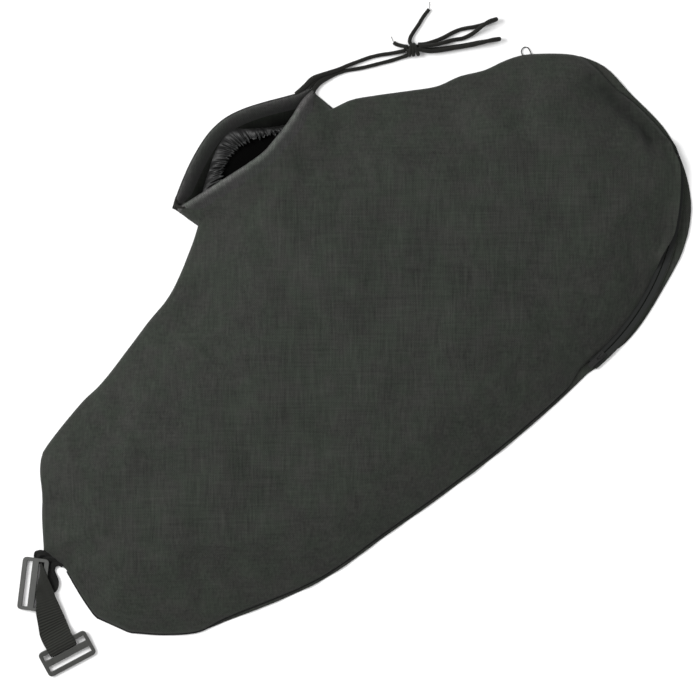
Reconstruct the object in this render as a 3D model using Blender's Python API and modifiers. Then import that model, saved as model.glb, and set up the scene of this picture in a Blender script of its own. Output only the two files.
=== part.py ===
"""Leaf vacuum collection bag, lying flat with its mouth held a little open.

Two cloth panels are sewn together round a bean-shaped outline.  A hemmed neck carries the drawstring,
a gathered cuff inside it grips the tube, a zip opens the round end, and a short webbing strap with two
tri-glides hangs from the narrow end.  X runs along the mouth, Y points out of it, Z is up, and the bag
rests on Z = 0.  Lengths in this file are millimetres until an object is made.
"""

import math

import bmesh
import bpy
import numpy as np
from mathutils import Matrix
from mathutils.geometry import delaunay_2d_cdt

MM = 0.001
NAME = "leaf_vacuum_bag"

# --- cloth -------------------------------------------------------------------------------------
CLOTH = 0.9  # thickness of the coated cloth
GAP = 0.3  # air kept between pieces that touch
SEAM_Z = 4.1  # underside of the front panel along its sewn edge
LOFT = 28.0  # how far the front panel rises above its sewn edge
LOFT_REACH = 45.0  # distance from the edge over which it does most of that
EDGE_STEP = 11.0  # spacing of the points along an outline
CLOTH_STEP = 25.0  # spacing of the points inside a panel
RIM_INSET = 10.0  # a row of points this far inside a panel's sewn edge
TUBE_RESOLUTION = 2
SEAM_INSET = 1.5  # seam allowances start this far inside the edge ...
SEAM_WIDTH = 6.5  # ... and are this wide

# --- outline: corners and the curves between them ------------------------------------------------
NECK_RIGHT = (183.6, 166.4)
NECK_LEFT = (-9.6, 162.5)
STRAP_LOW = (-356.1, -27.9)
STRAP_HIGH = (-363.1, -0.9)
TOP_EDGE = [
    NECK_RIGHT, (204, 161), (231, 145.7), (261, 127), (286, 112.3), (310, 105.6), (336, 93),
    (356, 87.8), (373, 81.7), (387, 73), (423, 40.1),
]
BACK_ROUND_END = [
    (430, 29.6), (438, 10.8), (440.3, -25), (444.4, -75.6), (441.5, -102.7), (430.4, -133),
    (417.8, -155.5), (400.8, -175), (372.7, -195), (332, -211.8), (287, -226.5), (258.5, -230.6),
    (246, -228.9), (228.7, -231), (210.4, -229.6),
]
BOTTOM_EDGE = [
    (170, -232.4), (90.5, -233.7), (1.6, -229.8), (-61.7, -224.7), (-153.4, -216.6), (-262.4, -183.6),
]
NARROW_END = [
    (-289.4, -173.7), (-319.6, -152.7), (-347.2, -126.7), (-364.2, -91.5), (-363.4, -65.3), STRAP_LOW,
]
LEFT_EDGE = [
    STRAP_HIGH, (-339, 31.2), (-325.5, 46.6), (-310.3, 69), (-297.5, 80.9), (-287, 85),
    (-224.6, 97.3), (-201, 98.7), (-114.5, 117.9), (-80.6, 124.8), (-27.8, 150.9), NECK_LEFT,
]
FRONT_TOP_CORNER = [(426.7, 24.4), (430.6, -11.3), (434.2, -45)]
FRONT_AFTER_ZIP = [(203, -221.5), (188, -227)]
BACK_SHOWS = 3.5  # the back panel shows this much past the front one along the bottom

# --- mouth: the outer edges of its two lips, left corner to right --------------------------------
FRONT_LIP = [
    (-19, 192), (34, 184), (80, 178), (97, 177.4), (114, 180.4), (127, 183), (144, 187.7), (165, 194.6),
    (179, 196.2),
]
BACK_LIP = [
    (-19, 195), (1, 207), (31.5, 222), (61, 231.7), (79.5, 233.7), (92.6, 232.6), (110, 228),
    (132, 219), (152, 209.6), (166.5, 203.2), (179, 199.5),
]
CASING_HALF_WIDTH = 3.4
CASING_HALF_HEIGHT = 3.0
CASING_WALL = 0.6
CASING_STEP = 6.0
CASING_CORNER = [(-8.0, 187.4), (-13.0, 191.4), (-12.8, 196.4), (-8.2, 199.8)]
CASING_LOW_Z = CASING_HALF_HEIGHT + GAP
CASING_START_X = 173.0  # the casing opens here on the front lip ...
CASING_END_X = 160.0  # ... and here on the back one
NECK_LEFT_LEAN = 0.317  # how far the neck's sides lean outwards for each millimetre towards the mouth
NECK_RIGHT_LEAN = 0.154
NECK_CLEAR = 1.2  # the lips stay this far inside those sides

# --- cuff: its sewn edge, and the elastic ring that gathers its free end --------------------------
CUFF_SEWN_EDGE = [
    (85, 219, 2.0), (58, 213, 2.0), (38, 201, 2.4), (14, 184, 4.6), (4, 169, 6.5), (34, 157, 15.5),
    (85, 150, 24.0), (136, 158, 16.5), (160, 171, 8.5), (148, 184, 5.0), (128, 193, 2.6), (110, 207, 2.0),
]
RING_CENTRE = (86.0, 175.0, 11.5)
RING_HALF_WIDTH = 48.0
RING_HALF_DEPTH = 25.0
RING_RISE = 6.0  # the far side of the ring is this much higher than its centre
ELASTIC_RADIUS = 1.3
ELASTIC_CLEAR = 1.6  # the elastic lies this far inside the lining's gathered end
CUFF_LINING = 0.5
CUFF_STEP = 9.0
CUFF_ROWS = (0.0, 0.3, 0.65, 1.0)
CUFF_PUFF = (1.6, 1.4)

# --- zip: a true arc, so that its slider turns about one centre -----------------------------------
ZIP_CENTRE = (221.1, 34.3)
ZIP_RADIUS = 258.6
ZIP_TAPE_ANGLES = (-33.0, -90.0)
ZIP_CHAIN_ANGLES = (-35.0, -86.5)
ZIP_HEM_ANGLES = (-38.5, -90.0)
ZIP_FRONT_ANGLES = (-31.0, -92.5)
ZIP_SLIDER_ANGLE = -87.2
ZIP_BOTTOM_STOP_ANGLE = -34.2
ZIP_TOP_STOP_ANGLE = -89.2
ZIP_HALF_GAP = 0.7  # half the slit between the two tapes, which the slider's post runs in
ZIP_FRONT_INSET = 4.2  # the front panel ends this far inside the slit
FRONT_TAPE_WIDTH = 12.0
BACK_TAPE_WIDTH = 5.3
BACK_TAPE_NARROW = 1.3  # where it runs out into the seam
TAPER_POINTS = 5
TAPE_TOP = 3.8
TAPE = 0.4
CHAIN_TOP = 3.1
CHAIN = 1.2
CHAIN_WIDTH = 2.2
SLIDER_LENGTH = 11.0
SLIDER_POST = 0.8
PULL_AXIS_Z = 6.05
PULL_LENGTH = 17.0
PULL_WIDTH = 6.0
PULL_THICKNESS = 1.1
PULL_EYE = (3.0, 4.9, 3.0)  # the hole that the slider's bridge passes through
BOTTOM_STOP = (5.0, 2.6, 0.9)
TOP_STOP = (1.6, 1.8, 0.8)
TOP_STOP_OFFSET = 1.7

# --- drawstring ----------------------------------------------------------------------------------
CORD_RADIUS = 2.0
CORD_STEP = 9.0
CORD_LOWEST = 2.1  # the middle of a cord that lies on the surface
KNOT_CENTRE = (290.8, 159.0, 5.3)
KNOT_RADII = (6.6, 6.6, 5.2)

# --- strap and tri-glides ------------------------------------------------------------------------
WEB_HALF_WIDTH = 15.5
WEB = 1.4
WRAP_RADIUS = 4.0  # middle of the webbing where it turns round a bar
BAR_Z = 4.8
TRI_LENGTH = 57.0
TRI_WIDTH = 29.0
TRI_THICKNESS = 3.4
TRI_BAR = 5.0
TRI_SLOT = 6.0
TRI_SLOT_LENGTH = 49.6
TRI_CORNER = 4.0
TRI_REST_TILT = -6.6  # degrees: the free bar lies on the surface
UPPER_BAR = (-385.7, -28.9)  # middle of the bar that the strap goes round
UPPER_BAR_ANGLE = 43.1
UPPER_WRAP = 8.5  # the webbing sits this far along that bar from its middle
LOWER_BAR = (-411.4, -89.4)
LOWER_BAR_ANGLE = -11.9
LOWER_WRAP = -1.5
STRAP_HINGE = (-362.9, -14.8, 1.9)
STRAP_HINGE_ANGLE = 104.5
STRAP_SEWN_LENGTH = 14.0
RETURN_LENGTH = 21.0  # the strap's end, sewn back under itself


# =================================================================================================
# Curves
# =================================================================================================


def spline(points, step, closed=False):
    """Points at about the given spacing on a smooth curve through the ones given."""
    knots = np.array(points, dtype=float)
    if closed:
        knots = np.vstack([knots[-1:], knots, knots[:2]])
    else:
        knots = np.vstack([2 * knots[0] - knots[1], knots, 2 * knots[-1] - knots[-2]])
    fine = []
    for a, b, c, d in zip(knots[:-3], knots[1:-2], knots[2:-1], knots[3:]):
        t1 = math.sqrt(np.linalg.norm(b - a))
        t2 = t1 + math.sqrt(np.linalg.norm(c - b))
        t3 = t2 + math.sqrt(np.linalg.norm(d - c))
        for t in np.linspace(t1, t2, 16, endpoint=False):
            ab = a + (b - a) * t / t1
            bc = b + (c - b) * (t - t1) / (t2 - t1)
            cd = c + (d - c) * (t - t2) / (t3 - t2)
            abc = ab + (bc - ab) * t / t2
            bcd = bc + (cd - bc) * (t - t1) / (t3 - t1)
            fine.append(abc + (bcd - abc) * (t - t1) / (t2 - t1))
    fine.append(knots[-2])
    return resample(np.array(fine), step, closed)


def resample(path, step, closed=False):
    """The same path with evenly spaced points; a closed one leaves its last point out."""
    along = np.concatenate([[0], np.cumsum(np.linalg.norm(np.diff(path, axis=0), axis=1))])
    count = max(2, round(along[-1] / step) + 1)
    places = np.linspace(0, along[-1], count)[: count - 1 if closed else count]
    return np.stack([np.interp(places, along, path[:, k]) for k in range(path.shape[1])], axis=1)


def zip_arc(radius, angles, step=6.0):
    """Points on a circle about the zip's centre, between two angles in degrees."""
    first, last = (math.radians(a) for a in angles)
    count = max(2, round(abs(last - first) * ZIP_RADIUS / step) + 1)
    turn = np.linspace(first, last, count)
    return np.stack([ZIP_CENTRE[0] + radius * np.cos(turn), ZIP_CENTRE[1] + radius * np.sin(turn)], axis=1)


def shifted(path, distance):
    """A flat path moved sideways, to the right of its travel."""
    along = np.gradient(path, axis=0)
    along /= np.linalg.norm(along, axis=1)[:, None]
    return path + distance * np.stack([along[:, 1], -along[:, 0]], axis=1)


def direction(degrees):
    return np.array([math.cos(math.radians(degrees)), math.sin(math.radians(degrees)), 0.0])


def distance_to(path, points):
    """The distance of each flat point to a path."""
    start, step = path[:-1], np.diff(path, axis=0)
    from_start = points[:, None, :] - start[None]
    share = np.clip((from_start * step).sum(2) / (step * step).sum(1), 0, 1)
    return np.linalg.norm(from_start - share[..., None] * step, axis=2).min(axis=1)


# =================================================================================================
# Objects
# =================================================================================================


def clear_scene():
    for item in list(bpy.data.objects):
        bpy.data.objects.remove(item, do_unlink=True)


def new_collection(name):
    collection = bpy.data.collections.new(name)
    bpy.context.scene.collection.children.link(collection)
    return collection


def material(name, colour, roughness, metallic=0.0):
    made = bpy.data.materials.new(name)
    made.use_nodes = True
    shader = made.node_tree.nodes["Principled BSDF"]
    shader.inputs["Base Color"].default_value = (*colour, 1.0)
    shader.inputs["Roughness"].default_value = roughness
    shader.inputs["Metallic"].default_value = metallic
    return made


def add_object(name, data, look):
    item = bpy.data.objects.new(name, data)
    if look is not None:
        data.materials.append(look)
    PARTS.objects.link(item)
    return item


def surface(name, points, faces, look):
    """An open or closed mesh from points in millimetres."""
    mesh = bpy.data.meshes.new(name)
    mesh.from_pydata([tuple(p * MM) for p in np.asarray(points, dtype=float)], [], faces)
    mesh.update()
    return add_object(name, mesh, look)


def thicken(item, thickness, offset=-1.0):
    modifier = item.modifiers.new("thickness", "SOLIDIFY")
    modifier.thickness = thickness * MM
    modifier.offset = offset
    modifier.use_even_offset = True
    return item


def strip(name, one_side, other_side, top, thickness, look):
    """A flat band between two paths with the same number of points."""
    count = len(one_side)
    flat = np.vstack([one_side, other_side])
    points = np.hstack([flat, np.full((len(flat), 1), top)])
    faces = [(i, i + 1, count + i + 1, count + i) for i in range(count - 1)]
    if normal_z(points, faces[0]) < 0:
        faces = [face[::-1] for face in faces]
    return thicken(surface(name, points, faces, look), thickness)


def normal_z(points, face):
    a, b, c = (points[i] for i in face[:3])
    return np.cross(b - a, c - a)[2]


def tube(name, points, radius, look, closed=False):
    """A round cord, wire or ring."""
    curve = bpy.data.curves.new(name, "CURVE")
    curve.dimensions = "3D"
    curve.bevel_depth = radius * MM
    curve.bevel_resolution = TUBE_RESOLUTION
    curve.use_fill_caps = not closed
    run = curve.splines.new("POLY")
    run.points.add(len(points) - 1)
    for knot, place in zip(run.points, points):
        knot.co = (*(np.asarray(place) * MM), 1.0)
    run.use_cyclic_u = closed
    run.use_smooth = True
    return add_object(name, curve, look)


def box(name, size, centre, look=None, collection=None):
    """A block of the given size, with its scale applied."""
    bpy.ops.mesh.primitive_cube_add(size=1.0)
    item = bpy.context.object
    item.name = name
    item.data.name = name
    item.data.transform(Matrix.Diagonal((*(s * MM for s in size), 1.0)))
    item.data.transform(Matrix.Translation([c * MM for c in centre]))
    for holder in item.users_collection:
        holder.objects.unlink(item)
    (collection or PARTS).objects.link(item)
    if look is not None:
        item.data.materials.append(look)
    return item


def boolean(item, other, operation):
    """Cut or join another block, which is then only a guide."""
    modifier = item.modifiers.new(operation.lower(), "BOOLEAN")
    modifier.operation = operation
    modifier.solver = "EXACT"
    modifier.object = other
    other.hide_render = True
    other.display_type = "WIRE"


def round_edges(item, width, segments=2):
    modifier = item.modifiers.new("rounded edges", "BEVEL")
    modifier.width = width * MM
    modifier.segments = segments
    modifier.limit_method = "ANGLE"
    modifier.angle_limit = math.radians(40)


def pivot(name, place, turn=0.0, tilt=0.0):
    """An empty on a joint's axis; its own X axis lies along that joint where it is tilted."""
    empty = bpy.data.objects.new(name, None)
    empty.location = [v * MM for v in place]
    empty.rotation_euler = (math.radians(tilt), 0.0, math.radians(turn))
    empty.empty_display_size = 0.02
    PARTS.objects.link(empty)
    return empty


# =================================================================================================
# Bag panels
# =================================================================================================


def lip_edge(lip, inset):
    """A lip's edge, left corner to right, moved into the bag and kept between the neck's sides."""
    path = shifted(spline(lip, EDGE_STEP), inset)
    left = NECK_LEFT[0] - (path[:, 1] - NECK_LEFT[1]) * NECK_LEFT_LEAN + NECK_CLEAR
    right = NECK_RIGHT[0] - (path[:, 1] - NECK_RIGHT[1]) * NECK_RIGHT_LEAN - NECK_CLEAR
    return path[(path[:, 0] > left) & (path[:, 0] < right)]


def sewn_edge(front):
    """The edge from the neck's right corner clockwise to its left one, and where its parts start."""
    if front:
        arc = zip_arc(ZIP_RADIUS - ZIP_FRONT_INSET, ZIP_FRONT_ANGLES, EDGE_STEP)
        bottom = [(x, y + BACK_SHOWS) for x, y in BOTTOM_EDGE]
        top = spline(TOP_EDGE + FRONT_TOP_CORNER + [tuple(arc[0])], EDGE_STEP)
        low = spline([tuple(arc[-1])] + FRONT_AFTER_ZIP + bottom + NARROW_END, EDGE_STEP)
    else:
        top = spline(TOP_EDGE + BACK_ROUND_END[:5], EDGE_STEP)
        arc = spline(BACK_ROUND_END[4:], EDGE_STEP)
        low = spline([BACK_ROUND_END[-1]] + BOTTOM_EDGE + NARROW_END, EDGE_STEP)
    left = spline(LEFT_EDGE, EDGE_STEP)
    return top, arc, low, left


def inside_points(outline, step):
    """A triangular lattice of points inside an outline, clear of its edge."""
    low, high = outline.min(axis=0), outline.max(axis=0)
    rows = np.arange(low[1], high[1], step * math.sqrt(0.75))
    columns = np.arange(low[0], high[0], step)
    lattice = np.array([(x + (row % 2) * step / 2, y) for row, y in enumerate(rows) for x in columns])
    edge = np.vstack([outline, outline[:1]])
    crossings = np.zeros(len(lattice), dtype=int)
    for (ax, ay), (bx, by) in zip(edge[:-1], edge[1:]):
        spans = (ay > lattice[:, 1]) != (by > lattice[:, 1])
        reach = ax + (lattice[:, 1] - ay) * (bx - ax) / (by - ay if by != ay else 1.0)
        crossings += spans & (lattice[:, 0] < reach)
    return lattice[(crossings % 2 == 1) & (distance_to(edge, lattice) > 0.55 * step)]


def panel(name, lip, front, look):
    """One cloth panel: flat for the back, and lofted away from its sewn edge for the front."""
    top, arc, low, left = sewn_edge(front)
    edge = np.vstack([top, arc[1:], low[1:], left])
    mouth = lip_edge(lip, 2 * CASING_HALF_WIDTH + GAP)
    outline = np.vstack([edge, mouth])
    near_edge = shifted(np.vstack([top, arc[1:], low[1:]]), RIM_INSET)[2:-2:2]
    near_left = shifted(left, RIM_INSET)[2:-2:2]
    inner = inside_points(outline, CLOTH_STEP)
    rim = np.vstack([near_edge, near_left])
    inner = inner[np.linalg.norm(inner[:, None] - rim[None], axis=2).min(axis=1) > 0.45 * CLOTH_STEP]
    flat = np.vstack([outline, rim, inner])
    count = len(outline)
    loop = list(range(count))[::-1]
    made = delaunay_2d_cdt([tuple(p) for p in flat], [], [loop], 1, 1e-6)
    flat = np.array([tuple(p) for p in made[0]])
    height = np.full(len(flat), CLOTH)
    if front:
        height = front_height(flat)
    points = np.hstack([flat, height[:, None]])
    faces = [tuple(f) if normal_z(points, f) > 0 else tuple(f)[::-1] for f in made[2]]
    return thicken(surface(name, points, faces, look), CLOTH)


def front_height(points):
    """The top of the front panel above flat points: it rises with the distance from the sewn edge."""
    top, arc, low, left = sewn_edge(True)
    mouth = lip_edge(FRONT_LIP, 2 * CASING_HALF_WIDTH + GAP)
    edge = np.vstack([mouth[-1:], top, arc[1:], low[1:], left, mouth[:1]])
    return SEAM_Z + CLOTH + LOFT * (1 - np.exp(-distance_to(edge, points) / LOFT_REACH))


def make_panels(cloth):
    panel("back_panel", BACK_LIP, False, cloth)
    panel("front_panel", FRONT_LIP, True, cloth)


def make_seam_allowances(cloth):
    """The turned-in edges that lie between the panels along each sewn seam."""
    top, _, low, left = sewn_edge(True)
    runs = {"seam_allowance_top": top[2:-8], "seam_allowance_bottom": low[5:-2], "seam_allowance_left": left[1:-2]}
    for name, run in runs.items():
        outer = shifted(run, SEAM_INSET)
        inner = shifted(run, SEAM_INSET + SEAM_WIDTH)
        strip(name, outer, inner, SEAM_Z - GAP, SEAM_Z - 2 * GAP - CLOTH, cloth)


# =================================================================================================
# Mouth
# =================================================================================================


def casing_path(from_end, to_end):
    """The middle of the drawstring's casing: front lip, left corner, back lip."""
    front = shifted(spline(FRONT_LIP, EDGE_STEP), CASING_HALF_WIDTH)
    back = shifted(spline(BACK_LIP, EDGE_STEP), CASING_HALF_WIDTH)
    front = front[(front[:, 0] > 1) & (front[:, 0] < from_end)][::-1]
    back = back[(back[:, 0] > -2) & (back[:, 0] < to_end)]
    front_z = front_height(shifted_in(front)) - CLOTH / 2
    corner = np.array(CASING_CORNER)
    corner_z = np.interp(range(1, 5), (0, 4), (front_z[-1], CASING_LOW_Z))
    flat = np.vstack([front, corner, back])
    high = np.concatenate([front_z, corner_z, np.full(len(back), CASING_LOW_Z)])
    return spline(np.hstack([flat, high[:, None]]), CASING_STEP)


def shifted_in(front):
    """Points of the front panel's own edge, beside points of the casing."""
    return front - np.array([0.0, CASING_HALF_WIDTH + GAP])


def oval_profile(name, half_width, half_height, count=10):
    """An oval section for a curve's bevel."""
    curve = bpy.data.curves.new(name, "CURVE")
    curve.dimensions = "2D"
    run = curve.splines.new("POLY")
    run.points.add(count - 1)
    for i, knot in enumerate(run.points):
        turn = 2 * math.pi * i / count
        knot.co = (half_width * MM * math.cos(turn), half_height * MM * math.sin(turn), 0, 1)
    run.use_cyclic_u = True
    item = bpy.data.objects.new(name, curve)
    GUIDES.objects.link(item)
    item.hide_render = True
    item.display_type = "WIRE"
    return item


def as_mesh(item, look):
    """Replace a curve object by its mesh, so that modifiers work on it."""
    bpy.context.view_layer.update()
    shape = item.evaluated_get(bpy.context.evaluated_depsgraph_get())
    mesh = bpy.data.meshes.new_from_object(shape)
    made = bpy.data.objects.new(item.name + "_mesh", mesh)
    made.matrix_world = item.matrix_world
    name = item.name
    bpy.data.objects.remove(item, do_unlink=True)
    made.name = name
    PARTS.objects.link(made)
    work = bmesh.new()
    work.from_mesh(mesh)
    bmesh.ops.remove_doubles(work, verts=work.verts, dist=1e-6)
    bmesh.ops.recalc_face_normals(work, faces=work.faces)
    work.to_mesh(mesh)
    work.free()
    mesh.materials.clear()
    mesh.materials.append(look)
    return made


def make_casing(cloth):
    """The hem round the mouth: an oval sleeve, open at both ends by the right corner."""
    profile = oval_profile("casing_profile", CASING_HALF_WIDTH, CASING_HALF_HEIGHT)
    item = tube("mouth_casing", casing_path(CASING_START_X, CASING_END_X), 0.0, cloth)
    item.data.bevel_mode = "OBJECT"
    item.data.bevel_object = profile
    item.data.use_fill_caps = False
    item.data.twist_mode = "Z_UP"
    sleeve = as_mesh(item, cloth)
    thicken(sleeve, CASING_WALL)


def make_drawstring_in_casing(cord):
    tube("drawstring_in_casing", casing_path(CASING_START_X, CASING_END_X), CORD_RADIUS, cord)


def elastic_ring(turn):
    """A point of the ring that gathers the cuff, at an angle from its right end."""
    across, deep = math.cos(turn), math.sin(turn)
    return np.array(RING_CENTRE) + np.array([RING_HALF_WIDTH * across, -RING_HALF_DEPTH * deep, RING_RISE * deep])


def make_cuff(lining, rubber):
    """A lining sleeve sewn round the inside of the neck and drawn in by elastic at its free end."""
    outer = spline(CUFF_SEWN_EDGE, CUFF_STEP, closed=True)
    count = len(outer)
    centre = np.array(RING_CENTRE)
    inner = []
    for place in outer:
        turn = math.atan2(-(place[1] - centre[1]) / RING_HALF_DEPTH, (place[0] - centre[0]) / RING_HALF_WIDTH)
        inner.append(elastic_ring(turn))
    inner = np.array(inner)
    rings = [outer + (inner - outer) * share for share in CUFF_ROWS]
    for ring, puff in zip(rings[1:3], CUFF_PUFF):
        ring[:, 2] += puff
    points = np.vstack(rings)
    faces = []
    for row in range(len(rings) - 1):
        for i in range(count):
            j = (i + 1) % count
            faces.append((row * count + i, row * count + j, (row + 1) * count + j, (row + 1) * count + i))
    sleeve = surface("inner_cuff", points, faces, lining)
    thicken(sleeve, CUFF_LINING, offset=0.0)
    inset = ELASTIC_RADIUS + ELASTIC_CLEAR
    clear = 1.0 - inset / RING_HALF_DEPTH
    ring = np.array([elastic_ring(2 * math.pi * i / 40) for i in range(40)])
    ring = centre + (ring - centre) * [1.0 - inset / RING_HALF_WIDTH, clear, clear]
    tube("cuff_elastic", ring, ELASTIC_RADIUS, rubber, closed=True)


# =================================================================================================
# Zip
# =================================================================================================


def taper(wide, narrow):
    """An edge that starts on the narrow path and eases out to the wide one."""
    share = np.clip(np.linspace(0, len(wide) / TAPER_POINTS, len(wide)), 0, 1)[:, None]
    return narrow + (wide - narrow) * share


def make_zip(tape, plastic, cloth):
    slit = ZIP_RADIUS
    inner, outer = slit - ZIP_HALF_GAP, slit + ZIP_HALF_GAP
    bands = {
        "zip_tape_front": (inner, inner - FRONT_TAPE_WIDTH, ZIP_TAPE_ANGLES, TAPE_TOP, TAPE, tape),
        "zip_tape_back": (outer, outer + BACK_TAPE_WIDTH, ZIP_TAPE_ANGLES, TAPE_TOP, TAPE, tape),
        "zip_coil_front": (inner, inner - CHAIN_WIDTH, ZIP_CHAIN_ANGLES, CHAIN_TOP, CHAIN, plastic),
        "zip_coil_back": (outer, outer + CHAIN_WIDTH, ZIP_CHAIN_ANGLES, CHAIN_TOP, CHAIN, plastic),
        "back_panel_hem": (slit + 4.4, slit + 7.4, ZIP_HEM_ANGLES, CHAIN_TOP, CHAIN_TOP - CLOTH - GAP, cloth),
    }
    for name, (near, far, angles, top, thickness, look) in bands.items():
        edge = zip_arc(far, angles)
        if name == "zip_tape_back":
            edge = taper(edge, zip_arc(near + BACK_TAPE_NARROW, angles))
        strip(name, zip_arc(near, angles), edge, top, thickness, look)


def place_on_zip(item, degrees):
    """Put a piece made about the slit, with X radial and Y along the zip, at its angle."""
    arm = pivot(item.name + "_axis", (*ZIP_CENTRE, 0.0), turn=degrees)
    item.parent = arm
    item.location = (ZIP_RADIUS * MM, 0.0, 0.0)


def make_slider(metal):
    """Channel under the chain, post through the slit, plate on top and the bridge for the pull."""
    slider = box("zip_slider", (8.4, SLIDER_LENGTH, 0.5), (0, 0, 1.45), metal)
    pieces = [
        box("slider_flange_in", (0.6, SLIDER_LENGTH, 1.7), (-3.9, 0, 2.1), collection=GUIDES),
        box("slider_flange_out", (0.6, SLIDER_LENGTH, 1.7), (3.9, 0, 2.1), collection=GUIDES),
        box("slider_post", (SLIDER_POST, 3.0, 3.4), (0, -SLIDER_LENGTH / 2 + 1.6, 2.9), collection=GUIDES),
        box("slider_plate", (7.2, SLIDER_LENGTH - 0.4, 0.8), (0, 0, 4.5), collection=GUIDES),
        box("slider_foot_low", (1.6, 1.2, 3.4), (0, -2.8, 6.4), collection=GUIDES),
        box("slider_foot_high", (1.6, 1.2, 3.4), (0, 2.8, 6.4), collection=GUIDES),
        box("slider_bridge", (1.6, 6.6, 1.0), (0, 0, 7.65), collection=GUIDES),
    ]
    for piece in pieces:
        boolean(slider, piece, "UNION")
    place_on_zip(slider, ZIP_SLIDER_ANGLE)
    for piece in pieces:
        piece.parent = slider
    return slider


def make_pull(metal, slider):
    """A flat tab whose end bar lies under the slider's bridge; its origin is on that bar's axis."""
    size = (PULL_WIDTH, PULL_LENGTH, PULL_THICKNESS)
    tab = box("zip_pull", size, (0, PULL_THICKNESS / 2 - PULL_LENGTH / 2, 0), metal)
    eye_centre = (0, -PULL_THICKNESS / 2 - PULL_EYE[1] / 2, 0)
    eye = box("pull_eye", PULL_EYE, eye_centre, collection=GUIDES)
    boolean(tab, eye, "DIFFERENCE")
    tab.parent = slider
    tab.location = (0.0, 0.0, PULL_AXIS_Z * MM)
    eye.parent = tab


def make_stops(metal):
    bottom = box("zip_bottom_stop", BOTTOM_STOP, (0, 0, TAPE_TOP + GAP + BOTTOM_STOP[2] / 2), metal)
    place_on_zip(bottom, ZIP_BOTTOM_STOP_ANGLE)
    for name, side in (("zip_top_stop_front", -1), ("zip_top_stop_back", 1)):
        stop = box(name, TOP_STOP, (side * TOP_STOP_OFFSET, 0, TAPE_TOP + GAP + TOP_STOP[2] / 2), metal)
        place_on_zip(stop, ZIP_TOP_STOP_ANGLE)


# =================================================================================================
# Strap and tri-glides
# =================================================================================================


def ribbon(name, stations, thickness, look):
    """A webbing strip lofted through stations of place, width direction and half width."""
    middle = spline([s[0] for s in stations], 2.2)
    knots = np.array([s[0] for s in stations], dtype=float)
    along = np.concatenate([[0], np.cumsum(np.linalg.norm(np.diff(knots, axis=0), axis=1))])
    travel = np.concatenate([[0], np.cumsum(np.linalg.norm(np.diff(middle, axis=0), axis=1))])
    travel *= along[-1] / travel[-1]
    angle = np.interp(travel, along, [s[1] for s in stations])
    half = np.interp(travel, along, [s[2] for s in stations])
    side = np.stack([np.cos(np.radians(angle)), np.sin(np.radians(angle)), np.zeros(len(angle))], axis=1)
    points = np.vstack([middle - side * half[:, None], middle, middle + side * half[:, None]])
    count = len(middle)
    faces = []
    for row in (0, 1):
        for i in range(count - 1):
            a = row * count + i
            faces.append((a, a + 1, a + count + 1, a + count))
    return thicken(surface(name, points, faces, look), thickness, offset=0.0)


def wrap(centre, away, angles):
    """Places round a bar, at angles in degrees from the side away from the tri-glide."""
    return [
        np.array(centre) + WRAP_RADIUS * (away * math.cos(math.radians(a)) + np.array([0, 0, math.sin(math.radians(a))]))
        for a in angles
    ]


def make_strap(webbing):
    upper_dir, lower_dir = direction(UPPER_BAR_ANGLE), direction(LOWER_BAR_ANGLE)
    upper_away, lower_away = direction(UPPER_BAR_ANGLE - 90), direction(LOWER_BAR_ANGLE + 90)
    upper = np.array([*UPPER_BAR, BAR_Z]) + UPPER_WRAP * upper_dir
    lower = np.array([*LOWER_BAR, BAR_Z]) + LOWER_WRAP * lower_dir
    floor_layer = np.array([0, 0, -WRAP_RADIUS])
    hinge = np.array(STRAP_HINGE)
    out = direction(STRAP_HINGE_ANGLE + 90)
    stations = [
        (hinge + 0.3 * out, STRAP_HINGE_ANGLE, 9.0),
        (hinge + 6.0 * out + [0, -1.0, -0.4], 88, 6.0),
        (upper + 2.5 * upper_away + 5.5 * upper_dir + floor_layer, 64, 5.5),
    ]
    turns = wrap(upper, upper_away, (-100, -140, -180, -225, -270))
    for place, drift, half_width in zip(turns, (5, 4, 2.5, 1, 0), (6.5, 8.5, 11, 13.5, 14.5)):
        stations.append((place + drift * upper_dir, UPPER_BAR_ANGLE, half_width))
    stations += [
        (upper + 3.6 * upper_away + [0, 0, 4.6], 40, 12.0),
        ((-380.5, -31.6, 10.9), 12, 8.5),
        ((-388.0, -38.6, 10.8), -24, 8.5),
        ((-396.4, -48.5, 9.6), -34, 11.5),
        ((-403.5, -62.8, 5.2), -22, 14.5),
        (lower + 18.5 * lower_away + [0, 0, -1.9], LOWER_BAR_ANGLE, WEB_HALF_WIDTH),
        (lower + 10.5 * lower_away + [0, 0, 0.4], LOWER_BAR_ANGLE, WEB_HALF_WIDTH),
    ]
    for place in wrap(lower, lower_away, (80, 120, 160, 200, 240, 275)):
        stations.append((place, LOWER_BAR_ANGLE, WEB_HALF_WIDTH))
    stations += [
        (lower + 8.0 * lower_away + floor_layer, LOWER_BAR_ANGLE, WEB_HALF_WIDTH),
        (lower + RETURN_LENGTH * lower_away + floor_layer + [0, 0, -0.2], LOWER_BAR_ANGLE, WEB_HALF_WIDTH),
    ]
    strap = ribbon("strap", stations, WEB, webbing)
    strap.parent = pivot("strap_axis", STRAP_HINGE)
    strap.location = [-v * MM for v in STRAP_HINGE]
    sewn = hinge - 0.9 * out
    back = hinge - STRAP_SEWN_LENGTH * out
    ribbon("strap_sewn_end", [(back, STRAP_HINGE_ANGLE, 12.0), (sewn, STRAP_HINGE_ANGLE, 12.0)], WEB, webbing)


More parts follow.
